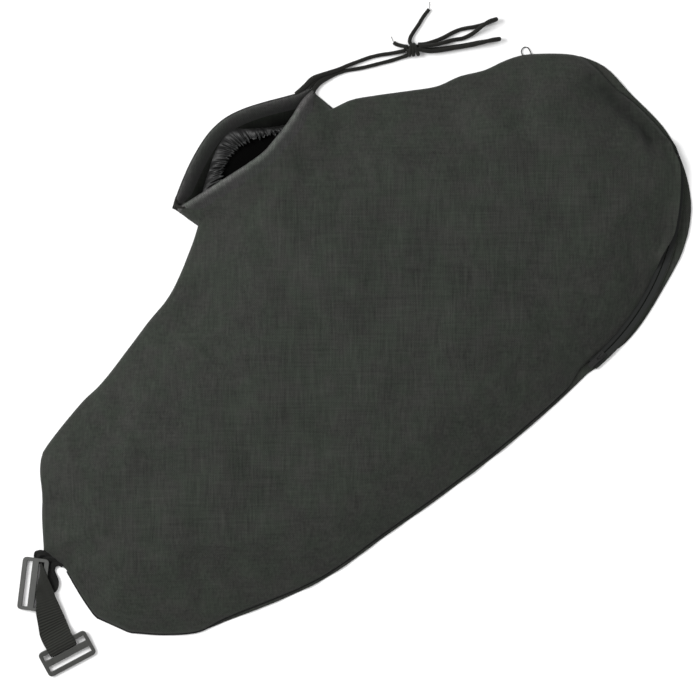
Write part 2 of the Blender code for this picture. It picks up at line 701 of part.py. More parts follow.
def make_tri_glide(name, bar, bar_angle, side, plastic):
    """A three-bar buckle, made about the axis of the outer bar that the strap goes round."""
    middle = side * (TRI_WIDTH - TRI_BAR) / 2
    frame = box(name, (TRI_LENGTH, TRI_WIDTH, TRI_THICKNESS), (0, middle, 0), plastic)
    corners = frame.modifiers.new("corners", "BEVEL")
    corners.width = TRI_CORNER * MM
    corners.segments = 3
    corners.limit_method = "WEIGHT"
    weights = frame.data.attributes.new("bevel_weight_edge", "FLOAT", "EDGE")
    for edge in frame.data.edges:
        a, b = (frame.data.vertices[v].co for v in edge.vertices)
        weights.data[edge.index].value = 1.0 if abs(a.z - b.z) > 1e-6 else 0.0
    offset = TRI_BAR / 2 + TRI_SLOT / 2
    middle_bar = TRI_WIDTH - 2 * TRI_BAR - 2 * TRI_SLOT
    for number, place in enumerate((offset, offset + TRI_SLOT + middle_bar)):
        size = (TRI_SLOT_LENGTH, TRI_SLOT, 3 * TRI_THICKNESS)
        slot = box(f"{name}_slot_{number}", size, (0, side * place, 0), collection=GUIDES)
        boolean(frame, slot, "DIFFERENCE")
        slot.parent = frame
    round_edges(frame, 0.9)
    axis = pivot(name + "_axis", (*bar, BAR_Z), turn=bar_angle, tilt=side * TRI_REST_TILT)
    frame.parent = axis


def make_tri_glides(plastic):
    make_tri_glide("tri_glide_upper", UPPER_BAR, UPPER_BAR_ANGLE, 1, plastic)
    make_tri_glide("tri_glide_lower", LOWER_BAR, LOWER_BAR_ANGLE, -1, plastic)


# =================================================================================================
# Free cords: their routes, chosen by hand
# =================================================================================================

ROUTES = {
    "drawstring_lead_upper": [
        (162.4, 203.9, 3.3), (170, 203.6, 3.4), (178.5, 203.9, 4.2), (186, 204.6, 5.0), (194.7, 202.6, 5.3),
        (205, 198.6, 5.3), (216, 194.4, 5.2), (227.8, 190.8, 3.6), (238.9, 187, 2.2), (249.6, 183, 2.0),
        (259.6, 178, 2.0), (268.6, 172.4, 2.4), (277.2, 167.4, 4.0), (283.2, 164.1, 5.2),
    ],
    "drawstring_lead_lower": [
        (175.4, 192.6, 4.6), (180.6, 194.9, 3.0), (186, 196.6, 2.1), (193.6, 197.0, 2.0), (205.3, 194.4, 2.0),
        (217.9, 190.0, 2.0), (226, 185.4, 2.0), (235.4, 180.0, 2.0), (245.4, 175, 2.0), (255.7, 170.1, 2.0),
        (265.8, 165.3, 2.0), (274.1, 161.8, 2.2), (280.4, 159.3, 3.4), (283.9, 158.4, 4.6),
    ],
    "bow_loop_upper": [
        (298.4, 160.2, 3.4), (303.2, 156.6, 2.6), (310.3, 153.2, 2.0), (323.7, 148.6, 2.0), (333.1, 146.6, 2.0),
        (342.5, 144.0, 2.0), (350.1, 140.2, 2.0), (357, 136, 2.0), (364.5, 132.4, 2.0), (373, 129.4, 2.4),
        (378.6, 127.4, 4.4), (380.6, 126.8, 7.4), (378.4, 127.6, 10.4), (372.4, 129.8, 12.0), (364.5, 130.8, 10.2),
        (355.5, 131.2, 6.0), (347.5, 132.2, 3.0), (339, 134.8, 2.2), (331, 139.6, 2.4), (322.8, 143.0, 5.0),
        (313, 147.6, 6.8), (305.0, 152.6, 7.4), (298.0, 158.4, 8.2),
    ],
    "bow_loop_lower": [
        (297.4, 154.4, 3.2), (302.2, 149.6, 2.4), (307.9, 145.6, 2.0), (318.7, 138.4, 2.0), (328.8, 132.2, 2.0),
        (338.2, 126.6, 2.0), (348.2, 121.0, 2.0), (357.8, 115.4, 2.0), (364.2, 111.4, 2.6), (368.2, 108.9, 4.6),
        (369.4, 108.2, 7.4), (367.2, 109.6, 10.2), (362.4, 112.4, 11.4), (354.1, 116.4, 9.4), (343.7, 121.6, 7.0),
        (334.1, 127.0, 6.4), (323.4, 133.4, 6.4), (312.6, 139.6, 6.6), (303.4, 146.0, 7.0), (297.2, 152.8, 7.8),
    ],
    "drawstring_end_long": [
        (292.3, 166.1, 4.2), (293.9, 169.4, 3.0), (297.4, 171.8, 2.2), (302.3, 173.6, 2.0), (308, 175.2, 2.0),
        (313.4, 176.8, 2.0), (321.6, 179.6, 2.0), (331.7, 181.9, 2.0),
    ],
    "drawstring_end_short": [
        (287.6, 165.6, 6.6), (284.6, 169.4, 4.6), (281.8, 173.2, 2.6), (280.2, 176.2, 2.0), (279.5, 179.0, 2.0),
    ],
}
THREAD_LOOP = [
    (377.0, 80.6, 1.0), (380.2, 82.4, 1.0), (383.4, 83.2, 1.1), (386.2, 82.0, 1.2), (387.4, 79.2, 1.2),
    (387.0, 76.4, 1.0),
]
THREAD_RADIUS = 0.6
BOW_STEP = 5.0  # closer points where the cord bends most


def make_free_cords(cord):
    for name, route in ROUTES.items():
        path = spline(route, CORD_STEP if "lead" in name else BOW_STEP)
        path[:, 2] = np.maximum(path[:, 2], CORD_LOWEST)
        tube(name, path, CORD_RADIUS, cord)


def make_knot(cord):
    bpy.ops.mesh.primitive_uv_sphere_add(segments=16, ring_count=10, radius=1.0)
    knot = bpy.context.object
    knot.name = "bow_knot"
    knot.data.transform(Matrix.Diagonal((*(r * MM for r in KNOT_RADII), 1.0)))
    knot.location = [v * MM for v in KNOT_CENTRE]
    knot.data.shade_smooth()
    knot.data.materials.append(cord)
    for holder in knot.users_collection:
        holder.objects.unlink(knot)
    PARTS.objects.link(knot)


def main():
    cloth = material("coated cloth", (0.037, 0.041, 0.036), 0.85)
    lining = material("lining", (0.014, 0.015, 0.014), 0.45)
    cord = material("cord", (0.016, 0.016, 0.013), 0.8)
    web = material("webbing", (0.012, 0.013, 0.011), 0.75)
    tape = material("zip tape", (0.030, 0.033, 0.031), 0.8)
    plastic = material("moulded plastic", (0.060, 0.064, 0.062), 0.4)
    metal = material("black zip metal", (0.020, 0.020, 0.020), 0.4, 0.6)
    rubber = material("elastic", (0.020, 0.020, 0.020), 0.7)
    make_panels(cloth)
    make_seam_allowances(cloth)
    make_casing(cloth)
    make_drawstring_in_casing(cord)
    make_cuff(lining, rubber)
    make_zip(tape, plastic, cloth)
    slider = make_slider(metal)
    make_pull(metal, slider)
    make_stops(metal)
    make_strap(web)
    make_tri_glides(plastic)
    make_free_cords(cord)
    make_knot(cord)
    tube("thread_loop", spline(THREAD_LOOP, 2.0), THREAD_RADIUS, cord)


clear_scene()
PARTS = new_collection(NAME)
GUIDES = new_collection("guides")
main()
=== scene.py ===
"""Looks of the leaf vacuum collection bag.  Lengths are millimetres until an object is made."""

import math

import bmesh
import bpy
import numpy as np
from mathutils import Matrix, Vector
from mathutils.bvhtree import BVHTree
from mathutils.geometry import delaunay_2d_cdt


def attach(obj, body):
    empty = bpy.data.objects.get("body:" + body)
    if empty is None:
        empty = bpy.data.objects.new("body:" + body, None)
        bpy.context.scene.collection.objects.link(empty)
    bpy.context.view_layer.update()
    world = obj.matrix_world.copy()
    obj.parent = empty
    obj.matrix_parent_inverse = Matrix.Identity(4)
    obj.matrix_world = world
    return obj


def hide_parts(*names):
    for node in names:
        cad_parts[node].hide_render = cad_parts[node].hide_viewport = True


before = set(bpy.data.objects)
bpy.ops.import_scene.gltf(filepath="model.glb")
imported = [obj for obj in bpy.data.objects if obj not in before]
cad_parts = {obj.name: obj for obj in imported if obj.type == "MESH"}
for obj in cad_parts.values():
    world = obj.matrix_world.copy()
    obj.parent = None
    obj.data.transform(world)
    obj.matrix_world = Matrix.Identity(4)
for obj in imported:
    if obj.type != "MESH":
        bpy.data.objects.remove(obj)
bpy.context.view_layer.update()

MM = 0.001

# --- Shapes: mostly the same figures as the CAD, with a few for the looks alone
CLOTH = 0.9
GAP = 0.3
SEAM_Z = 4.1
LOFT = 28.0
LOFT_REACH = 45.0
NECK_RIGHT = (183.6, 166.4)
NECK_LEFT = (-9.6, 162.5)
NECK_LEFT_LEAN = 0.317
NECK_RIGHT_LEAN = 0.154
NECK_CLEAR = 0.4
STRAP_LOW = (-356.1, -27.9)
STRAP_HIGH = (-363.1, -0.9)
TOP_EDGE = [
    NECK_RIGHT, (204, 161), (231, 145.7), (261, 127), (286, 112.3), (310, 105.6), (336, 93),
    (356, 87.8), (373, 81.7), (387, 73), (423, 40.1),
]
BACK_ROUND_END = [
    (430, 29.6), (438, 10.8), (440.3, -25), (444.4, -75.6), (441.5, -102.7), (430.4, -133),
    (417.8, -155.5), (400.8, -175), (372.7, -195), (332, -211.8), (287, -226.5), (258.5, -230.6),
    (246, -228.9), (228.7, -231), (210.4, -229.6),
]
BOTTOM_EDGE = [
    (170, -232.4), (90.5, -233.7), (1.6, -229.8), (-61.7, -224.7), (-153.4, -216.6), (-262.4, -183.6),
]
NARROW_END = [
    (-289.4, -173.7), (-319.6, -152.7), (-345.2, -128.4), (-347.4, -126.4), (-348.6, -123.8),
    (-363.0, -94.0), (-364.3, -91.2), (-364.4, -88.0), (-362.4, -65.3), STRAP_LOW,
]
LEFT_EDGE = [
    STRAP_HIGH, (-339, 31.2), (-325.5, 46.6), (-310.3, 69), (-297.5, 80.9), (-287, 85),
    (-224.6, 97.3), (-201, 98.7), (-114.5, 117.9), (-80.6, 124.8), (-27.8, 150.9), NECK_LEFT,
]
FRONT_TOP_CORNER = [(428.6, 22.4), (431.4, -14.5), (434.4, -27.6), (438.3, -50.8), (439.8, -77.6)]
FLAP_REACH = 7.1  # the front panel hangs this far over the zip near its upper end
FLAP_ANGLES = (-31.0, -37.0, -52.0, -60.0)
FLAP_Z = 11.0  # its edge stands clear of the slider's bridge and pull, which pass under it
FLAP_RISE = (-26.5, -64.0)
ZIP_TRACK = 14.0  # the back panel lies flat this far on each side of the zip's slit
FRONT_AFTER_ZIP = [(203, -221.5), (188, -227)]
BACK_SHOWS = 3.5
FRONT_LIP = [
    (-19, 192), (34, 184), (80, 178), (97, 177.4), (114, 180.4), (127, 183), (144, 187.7), (165, 194.6),
    (179, 196.2),
]
BACK_LIP = [
    (-19, 195), (1, 207), (31.5, 222), (61, 231.7), (79.5, 233.7), (92.6, 232.6), (110, 228),
    (132, 219), (152, 209.6), (166.5, 203.2), (179, 199.5),
]
CASING_HALF_WIDTH = 3.4
BACK_HEM_Z = 3.0
CUFF_SEWN_EDGE = [
    (85, 218, 2.0), (58, 213, 2.0), (38, 201, 2.4), (14, 184, 4.6), (4, 169, 6.5), (34, 157, 15.5),
    (85, 150, 24.0), (136, 158, 16.5), (158, 169, 8.5), (146, 179, 5.0), (126, 189, 2.6), (103, 205, 2.0),
]
RING_CENTRE = np.array([86.0, 175.0, 11.5])
RING_HALF_WIDTH = 48.0
RING_HALF_DEPTH = 25.0
RING_RISE = 6.0
ZIP_CENTRE = (221.1, 34.3)
ZIP_RADIUS = 258.6
ZIP_FRONT_ANGLES = (-31.0, -92.5)
ZIP_FRONT_INSET = 4.2
CORD_RADIUS = 2.0
CORD_LOWEST = 2.1
KNOT_CENTRE = np.array([290.8, 159.0, 5.3])
WEB_HALF_WIDTH = 15.5
WEB = 1.4
WRAP_RADIUS = 4.0
BAR_Z = 4.8
UPPER_BAR = (-385.7, -28.9)
UPPER_BAR_ANGLE = 43.1
LOWER_BAR = (-411.4, -89.4)
LOWER_BAR_ANGLE = -11.9
LOWER_WRAP = -1.5
RETURN_LENGTH = 21.0
STRAP_COLUMNS = 25
SLOT_REACH = 7.4  # how far the webbing's loose turn reaches into the lower buckle's slot

# --- View
VIEW_CENTRE = (30.4, -45.5)
VIEW_TURN = 39.9  # degrees between the image's right and the object's X
VIEW_WIDTH = 756.0
CAMERA_HEIGHT = 4000.0
FLOOR_Z = -0.4
WORLD_LIGHT = 0.6
SENSOR = 36.0


# --- Curves


def spline(points, step, closed=False):
    """Points at about the given spacing on a smooth curve through the ones given."""
    knots = np.array(points, dtype=float)
    if closed:
        knots = np.vstack([knots[-1:], knots, knots[:2]])
    else:
        knots = np.vstack([2 * knots[0] - knots[1], knots, 2 * knots[-1] - knots[-2]])
    fine = []
    for a, b, c, d in zip(knots[:-3], knots[1:-2], knots[2:-1], knots[3:]):
        t1 = math.sqrt(np.linalg.norm(b - a))
        t2 = t1 + math.sqrt(np.linalg.norm(c - b))
        t3 = t2 + math.sqrt(np.linalg.norm(d - c))
        for t in np.linspace(t1, t2, 16, endpoint=False):
            ab = a + (b - a) * t / t1
            bc = b + (c - b) * (t - t1) / (t2 - t1)
            cd = c + (d - c) * (t - t2) / (t3 - t2)
            abc = ab + (bc - ab) * t / t2
            bcd = bc + (cd - bc) * (t - t1) / (t3 - t1)
            fine.append(abc + (bcd - abc) * (t - t1) / (t2 - t1))
    fine.append(knots[-2])
    return resample(np.array(fine), step, closed)


def resample(path, step, closed=False):
    along = distances_along(path)
    count = max(2, round(along[-1] / step) + 1)
    places = np.linspace(0, along[-1], count)[: count - 1 if closed else count]
    return np.stack([np.interp(places, along, path[:, k]) for k in range(path.shape[1])], axis=1)


def distances_along(path):
    return np.concatenate([[0], np.cumsum(np.linalg.norm(np.diff(path, axis=0), axis=1))])


def length_of(path):
    return float(np.linalg.norm(np.diff(path, axis=0), axis=1).sum())


def grid_faces(rows, columns, closed=False):
    """Four-sided faces of a grid whose points are numbered row by row."""
    faces = []
    for r in range(rows - 1):
        for i in range(columns if closed else columns - 1):
            j = (i + 1) % columns
            faces.append((r * columns + i, r * columns + j, (r + 1) * columns + j, (r + 1) * columns + i))
    return faces


def smooth_step(x):
    x = np.clip(x, 0, 1)
    return x * x * (3 - 2 * x)


def zip_arc(radius, angles, step=6.0):
    first, last = (math.radians(a) for a in angles)
    count = max(2, round(abs(last - first) * ZIP_RADIUS / step) + 1)
    turn = np.linspace(first, last, count)
    return np.stack([ZIP_CENTRE[0] + radius * np.cos(turn), ZIP_CENTRE[1] + radius * np.sin(turn)], axis=1)


def shifted(path, distance):
    """A flat path moved sideways, to the right of its travel."""
    along = np.gradient(path, axis=0)
    along /= np.linalg.norm(along, axis=1)[:, None]
    return path + distance * np.stack([along[:, 1], -along[:, 0]], axis=1)


def direction(degrees):
    return np.array([math.cos(math.radians(degrees)), math.sin(math.radians(degrees)), 0.0])


def distance_to(path, points):
    start, step = path[:-1], np.diff(path, axis=0)
    best = np.full(len(points), np.inf)
    for a, s in zip(start, step):
        share = np.clip((points - a) @ s / max(s @ s, 1e-9), 0, 1)
        best = np.minimum(best, np.linalg.norm(points - a - share[:, None] * s, axis=1))
    return best


# --- Noise on numpy arrays


class Waves:
    """Smooth seeded noise: a sum of sine waves with random directions, near a given wavelength."""

    def __init__(self, wavelength, seed, count=14):
        rng = np.random.default_rng(seed)
        turn = rng.uniform(0, 2 * math.pi, count)
        size = rng.uniform(0.75, 1.5, count) * wavelength
        self.k = 2 * math.pi * np.stack([np.cos(turn), np.sin(turn)], axis=1) / size[:, None]
        self.phase = rng.uniform(0, 2 * math.pi, count)
        self.scale = math.sqrt(2 / count)

    def __call__(self, flat):
        return np.sin(flat[:, :2] @ self.k.T + self.phase).sum(axis=1) * self.scale


# --- Materials


def scaled(colour, *by):
    """A colour times one factor, or times one factor for each channel."""
    return tuple(c * k for c, k in zip(colour, by * 3 if len(by) == 1 else by))


class Nodes:
    """Short names for building a material's nodes."""

    def __init__(self, name):
        self.material = bpy.data.materials.new(name)
        self.material.use_nodes = True
        self.tree = self.material.node_tree
        self.shader = self.tree.nodes["Principled BSDF"]

    def add(self, kind, **values):
        node = self.tree.nodes.new(kind)
        for key, value in values.items():
            setattr(node, key, value)
        return node

    def link(self, out, socket):
        self.tree.links.new(out, socket)

    def put(self, socket, value):
        if isinstance(value, bpy.types.NodeSocket):
            self.link(value, socket)
        else:
            socket.default_value = value

    def math(self, operation, a, b=0.0, c=0.0):
        node = self.add("ShaderNodeMath", operation=operation)
        for socket, value in zip(node.inputs, (a, b, c)):
            self.put(socket, value)
        return node.outputs[0]

    def object_mm(self, turn=0.0, stretch=(1.0, 1.0, 1.0)):
        """Object coordinates in millimetres, turned about Z and stretched."""
        place = self.add("ShaderNodeTexCoord").outputs["Object"]
        mapping = self.add("ShaderNodeMapping")
        mapping.inputs["Rotation"].default_value = (0, 0, math.radians(turn))
        mapping.inputs["Scale"].default_value = (1 / MM, 1 / MM, 1 / MM)
        self.link(place, mapping.inputs["Vector"])
        scale = self.add("ShaderNodeVectorMath", operation="MULTIPLY")
        self.link(mapping.outputs[0], scale.inputs[0])
        scale.inputs[1].default_value = stretch
        return scale.outputs[0]

    def surface_mm(self, stretch=(1.0, 1.0, 1.0)):
        """The piece's own surface coordinates in millimetres: across, along."""
        place = self.add("ShaderNodeUVMap", uv_map="surface").outputs[0]
        scale = self.add("ShaderNodeVectorMath", operation="MULTIPLY")
        self.link(place, scale.inputs[0])
        scale.inputs[1].default_value = stretch
        return scale.outputs[0]

    def split(self, vector):
        node = self.add("ShaderNodeSeparateXYZ")
        self.link(vector, node.inputs[0])
        return node.outputs

    def noise(self, vector, size, detail=2.0, roughness=0.5):
        node = self.add("ShaderNodeTexNoise")
        self.link(vector, node.inputs["Vector"])
        node.inputs["Scale"].default_value = 1.0 / size
        node.inputs["Detail"].default_value = detail
        node.inputs["Roughness"].default_value = roughness
        return node.outputs["Fac"]

    def wave(self, coordinate, pitch):
        """A sine that repeats every pitch."""
        return self.math("SINE", self.math("MULTIPLY_ADD", coordinate, 2 * math.pi / pitch, 0.0))

    def ramp(self, value, *stops):
        node = self.add("ShaderNodeValToRGB")
        self.link(value, node.inputs[0])
        elements = node.color_ramp.elements
        while len(elements) < len(stops):
            elements.new(0.5)
        for element, (place, colour) in zip(elements, stops):
            element.position = place
            element.color = (*colour, 1.0)
        return node.outputs[0]

    def mix(self, kind, factor, a, b):
        node = self.add("ShaderNodeMix", data_type="RGBA", blend_type=kind)
        self.put(node.inputs[0], factor)
        self.put(node.inputs[6], a)
        self.put(node.inputs[7], b)
        return node.outputs[2]

    def times(self, colour, by):
        return self.mix("MULTIPLY", 1.0, colour, by)

    def tone(self, value, *stops):
        """A ramp of greys."""
        return self.ramp(value, *((place, (grey,) * 3) for place, grey in stops))

    def grey(self, value):
        """A colour socket from a number."""
        node = self.add("ShaderNodeCombineColor")
        for socket in node.inputs:
            self.put(socket, value)
        return node.outputs[0]

    def bump(self, height, distance, strength=1.0, under=None):
        node = self.add("ShaderNodeBump")
        node.inputs["Distance"].default_value = distance * MM
        node.inputs["Strength"].default_value = strength
        self.link(height, node.inputs["Height"])
        if under is not None:
            self.link(under, node.inputs["Normal"])
        return node.outputs[0]

    def finish(self, colour, roughness, normal=None, **uniform):
        self.put(self.shader.inputs["Base Color"], colour)
        self.put(self.shader.inputs["Roughness"], roughness)
        if normal is not None:
            self.link(normal, self.shader.inputs["Normal"])
        for name, value in uniform.items():
            self.shader.inputs[name.replace("_", " ")].default_value = value
        return self.material


THREAD_PITCH = 1.2
THREAD_CONTRAST = 2.7
MEAN_SHADE = 1.04  # the threads' shades lie round this before their contrast is raised
MEAN_TONE = 1.02
DARKEST_THREAD = 0.25
CUFF_SPAN = 30.0  # the cuff's surface coordinate runs from its seam to its ruffle over this length
HEM_TONES_REACH = 16.0
WORN_AND_LIT_TINT = (1.05, 0.97, 1.10)  # worn coating, and the highlight painted on the roll, are more neutral than the cloth
# Tones from the lip's edge inward: a painted highlight on the rolled edge, partly wear, with a darker line at
# its very edge; the back hem's tones fall into painted shade towards the inside of the mouth.
FRONT_HEM_TONES = [(0.0, 0.6), (1.0, 2.6), (2.6, 3.6), (4.6, 2.6), (7.0, 1.25), (9.0, 1.0)]
BACK_HEM_TONES = [
    (0.0, 0.35), (1.2, 0.6), (2.0, 1.9), (3.6, 1.3), (6.0, 0.85), (10.0, 0.5), (13.0, 0.25), (16.0, 0.12),
]


def cloth_material(name, base, crease_shade=False):
    """Coated plain weave: fine threads, streaks along both of them, and soft cloudy mottling."""
    n = Nodes(name)
    colour, height, grain = cloth_surface(n, base)
    if crease_shade:
        # the colour is darkened by crease depth: painted shade in the front panel's folds
        crease = n.split(n.surface_mm())[0]
        colour = n.times(colour, n.grey(n.math("MULTIPLY_ADD", crease, -0.5, 1.0)))
    rough = n.math("MULTIPLY_ADD", grain, 0.25, 0.66)
    normal = n.bump(height, 0.16, 0.8)
    return n.finish(colour, rough, normal, Sheen_Weight=0.04, Sheen_Roughness=0.6, Specular_IOR_Level=0.16)


def cloth_surface(n, base):
    """Colour, height and grain of the weave."""
    place = n.object_mm(turn=VIEW_TURN)
    x, y, _ = n.split(place)
    weave = n.math("MULTIPLY", n.wave(x, 2 * THREAD_PITCH), n.wave(y, 2 * THREAD_PITCH))
    upright = n.noise(n.object_mm(turn=VIEW_TURN, stretch=(1, 0.05, 1)), 1.9, detail=3, roughness=0.7)
    across = n.noise(n.object_mm(turn=VIEW_TURN, stretch=(0.05, 1, 1)), 2.3, detail=3, roughness=0.7)
    grain = n.noise(place, 2.2, detail=4, roughness=0.75)
    cloud = n.noise(place, 46.0, detail=3, roughness=0.6)
    tint = n.noise(n.object_mm(turn=110), 30.0, detail=3, roughness=0.65)
    green = scaled(base, 0.94, 1.02, 0.97)
    violet = scaled(base, 1.04, 0.985, 1.05)
    colour = n.ramp(tint, (0.40, green), (0.60, violet))
    shade = n.math("MULTIPLY_ADD", upright, 0.55, 0.22)
    shade = n.math("MULTIPLY_ADD", across, 0.35, shade)
    shade = n.math("MULTIPLY_ADD", cloud, 0.28, n.math("ADD", shade, 0.06))
    shade = n.math("MULTIPLY_ADD", grain, 0.34, shade)
    shade = n.math("MULTIPLY_ADD", weave, 0.09, shade)
    shade = n.math("MULTIPLY_ADD", shade, THREAD_CONTRAST, MEAN_TONE - MEAN_SHADE * THREAD_CONTRAST)
    shade = n.math("MAXIMUM", shade, DARKEST_THREAD)
    lint = n.noise(n.object_mm(turn=35), 9.0, detail=5, roughness=0.8)
    shade = n.math("ADD", shade, n.math("MULTIPLY", n.math("GREATER_THAN", lint, 0.735), 0.5))
    colour = n.times(colour, n.grey(shade))
    height = n.math("MULTIPLY_ADD", upright, 0.5, n.math("MULTIPLY", weave, 0.5))
    return colour, n.math("MULTIPLY_ADD", grain, 0.5, height), grain


def hem_material(name, base, tones):
    """The same cloth, with tones from the rolled edge inward, partly wear and partly painted highlight and
    shade, and slanting stitches along it.
    """
    n = Nodes(name)
    colour, height, grain = cloth_surface(n, base)
    inward, along, _ = n.split(n.surface_mm())
    uneven = n.noise(n.surface_mm(), 6.0, detail=3)
    edge = n.math("MULTIPLY_ADD", uneven, 2.4, n.math("SUBTRACT", inward, 1.2))
    stops = [(place / HEM_TONES_REACH, tuple(tone * k for k in WORN_AND_LIT_TINT)) for place, tone in tones]
    pale = n.ramp(n.math("DIVIDE", edge, HEM_TONES_REACH), *stops)
    thread = n.math("MULTIPLY_ADD", n.wave(n.math("ADD", along, inward), 2.4), 0.2, 0.96)
    colour = n.times(n.times(colour, pale), n.grey(thread))
    pucker = n.noise(n.surface_mm((0.25, 1, 1)), 3.0, detail=2)
    normal = n.bump(height, 0.16, 0.8, n.bump(pucker, 0.8, 0.6))
    rough = n.math("MULTIPLY_ADD", grain, 0.25, 0.6)
    return n.finish(colour, rough, normal, Sheen_Weight=0.04, Sheen_Roughness=0.6, Specular_IOR_Level=0.2)


def facing_shade_material(name, base):
    """Coated lining of the neck, with painted shade: darker and darker towards the cuff, as the inside of the
    neck falls into shade.
    """
    n = Nodes(name)
    colour, height, _ = cloth_surface(n, base)
    inward, _, _ = n.split(n.surface_mm())
    uneven = n.noise(n.surface_mm(), 18.0, detail=2)
    depth = n.math("MULTIPLY", n.math("MULTIPLY_ADD", uneven, 14.0, inward), 0.0125)
    # painted shade of the deep neck, growing with distance from the back lip
    dark = n.tone(depth, (0.15, 0.5), (0.27, 0.28), (0.40, 0.05), (0.6, 0.01))
    colour = n.times(colour, dark)
    return n.finish(colour, 0.9, n.bump(height, 0.12, 0.7), Specular_IOR_Level=0.06)


def satin_material(name, base, roughness):
    """Thin shiny lining with a very fine thread, its colour painted: dark with shade in the depth by its
    seam, light with a painted highlight at the ruffle.
    """
    n = Nodes(name)
    place = n.object_mm(turn=VIEW_TURN)
    x, y, _ = n.split(place)
    weave = n.math("MULTIPLY", n.wave(x, 0.9), n.wave(y, 0.9))
    patches = n.noise(place, 5.0, detail=4, roughness=0.65)
    _, outward, _ = n.split(n.surface_mm())
    # painted shade towards the seam and a painted highlight towards the ruffle
    depth_shade_and_highlight = n.tone(n.math("DIVIDE", outward, CUFF_SPAN), (0.0, 0.08), (0.45, 0.5), (0.72, 1.0), (1.0, 2.4))
    dark = scaled(base, 0.5)
    light = scaled(base, 1.8)
    colour = n.times(n.ramp(patches, (0.35, dark), (0.65, light)), depth_shade_and_highlight)
    rough = n.math("MULTIPLY_ADD", patches, 0.3, roughness)
    normal = n.bump(weave, 0.04, 0.6, n.bump(patches, 0.6, 0.7))
    return n.finish(colour, rough, normal, Sheen_Weight=0.03, Sheen_Roughness=0.35, Specular_IOR_Level=0.4)


def cord_material(name, base):
    """Braided cord: strands crossing on both diagonals, with stray fibres."""
    n = Nodes(name)
    across, along, _ = n.split(n.surface_mm())
    one = n.wave(n.math("ADD", across, n.math("MULTIPLY", along, 0.8)), 1.55)
    other = n.wave(n.math("SUBTRACT", across, n.math("MULTIPLY", along, 0.8)), 1.55)
    braid = n.math("MULTIPLY", one, other)
    fibre = n.noise(n.surface_mm((1, 0.3, 1)), 0.5, detail=2)
    height = n.math("MULTIPLY_ADD", fibre, 0.5, braid)
    dark = scaled(base, 0.55)
    light = scaled(base, 1.5)
    colour = n.ramp(n.math("MULTIPLY_ADD", height, 0.35, 0.4), (0.1, dark), (0.9, light))
    normal = n.bump(height, 0.3, 0.8)
    return n.finish(colour, 0.85, normal, Sheen_Weight=0.04, Sheen_Roughness=0.6, Specular_IOR_Level=0.25)


def webbing_material(name, base, rib=2.3, column=1.7, fade_and_shade=False):
    """Woven webbing: ribs across it, broken into columns.  On the strap they fade towards the seam, where the
    colour is also darkened as painted shade.
    """
    n = Nodes(name)
    across, along, _ = n.split(n.surface_mm())
    reach = n.math("MULTIPLY", along, 0.01)
    wander = n.noise(n.surface_mm(), 14.0)
    along = n.math("MULTIPLY_ADD", wander, 1.2, along)
    ribs = n.wave(along, rib)
    if fade_and_shade:
        ribs = n.math("MULTIPLY", ribs, n.tone(reach, (0.72, 0.12), (0.94, 1.2)))
    stagger = n.math("MULTIPLY", n.wave(along, 1.1), n.wave(across, column))
    height = n.math("MULTIPLY_ADD", stagger, 0.5, ribs)
    wear = n.noise(n.surface_mm(), 3.0, detail=4, roughness=0.7)
    height = n.math("MULTIPLY_ADD", wear, 1.4, height)
    dark = scaled(base, 0.35)
    light = scaled(base, 1.8)
    colour = n.ramp(n.math("MULTIPLY_ADD", height, 0.28, 0.3), (0.05, dark), (0.95, light))
    if fade_and_shade:
        # painted shade where the webbing bunches in by the seam
        tone = n.tone(reach, (0.26, 0.22), (0.48, 0.9), (0.7, 1.0))
        colour = n.times(colour, tone)
    normal = n.bump(height, 0.3, 0.9)
    return n.finish(colour, 0.75, normal, Sheen_Weight=0.05, Sheen_Roughness=0.5, Specular_IOR_Level=0.2)


def plastic_material(name, base, roughness):
    """Moulded plastic with a fine grain and faint flow marks."""
    n = Nodes(name)
    place = n.object_mm()
    grain = n.noise(place, 0.5, detail=2)
    flow = n.noise(n.object_mm(turn=20, stretch=(1, 0.2, 1)), 4.0, detail=3)
    scuff = n.noise(place, 2.0, detail=5, roughness=0.7)
    dark = scaled(base, 0.85)
    light = scaled(base, 1.2)
    colour = n.ramp(flow, (0.3, dark), (0.7, light))
    rough = n.math("MULTIPLY_ADD", scuff, 0.3, roughness - 0.12)
    return n.finish(colour, rough, n.bump(grain, 0.03, 0.6, n.bump(flow, 0.06, 0.5)))


def metal_material(name, base):
    """Black-painted zip metal, rubbed a little on its edges and faces."""
    n = Nodes(name)
    place = n.object_mm()
    wear = n.noise(place, 1.6, detail=5, roughness=0.7)
    rub = n.ramp(wear, (0.55, base), (0.8, scaled(base, 2.6)))
    rough = n.math("MULTIPLY_ADD", wear, 0.3, 0.22)
    return n.finish(rub, rough, n.bump(wear, 0.03, 0.6), Metallic=0.7)


# --- Pieces


def set_surface(mesh, uvs):
    """Store the surface coordinates given for each point."""
    layer = mesh.uv_layers.new(name="surface")
    corners = np.empty(len(mesh.loops), dtype=np.int64)
    mesh.loops.foreach_get("vertex_index", corners)
    layer.data.foreach_set("uv", np.asarray(uvs, dtype=np.float32)[corners].ravel())


def make_object(name, points, faces, look, uvs=None, body="bag"):
    """A mesh piece from points in millimetres that rides on a body."""
    mesh = bpy.data.meshes.new(name)
    mesh.from_pydata((np.asarray(points, dtype=float) * MM).tolist(), [], faces)
    mesh.update()
    if uvs is not None:
        set_surface(mesh, uvs)
    mesh.shade_smooth()
    item = bpy.data.objects.new(name, mesh)
    bpy.context.scene.collection.objects.link(item)
    mesh.materials.append(look)
    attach(item, body)
    return item


def thicken(item, thickness, offset=-1.0, even=True):
    modifier = item.modifiers.new("thickness", "SOLIDIFY")
    modifier.thickness = thickness * MM
    modifier.offset = offset
    modifier.use_even_offset = even


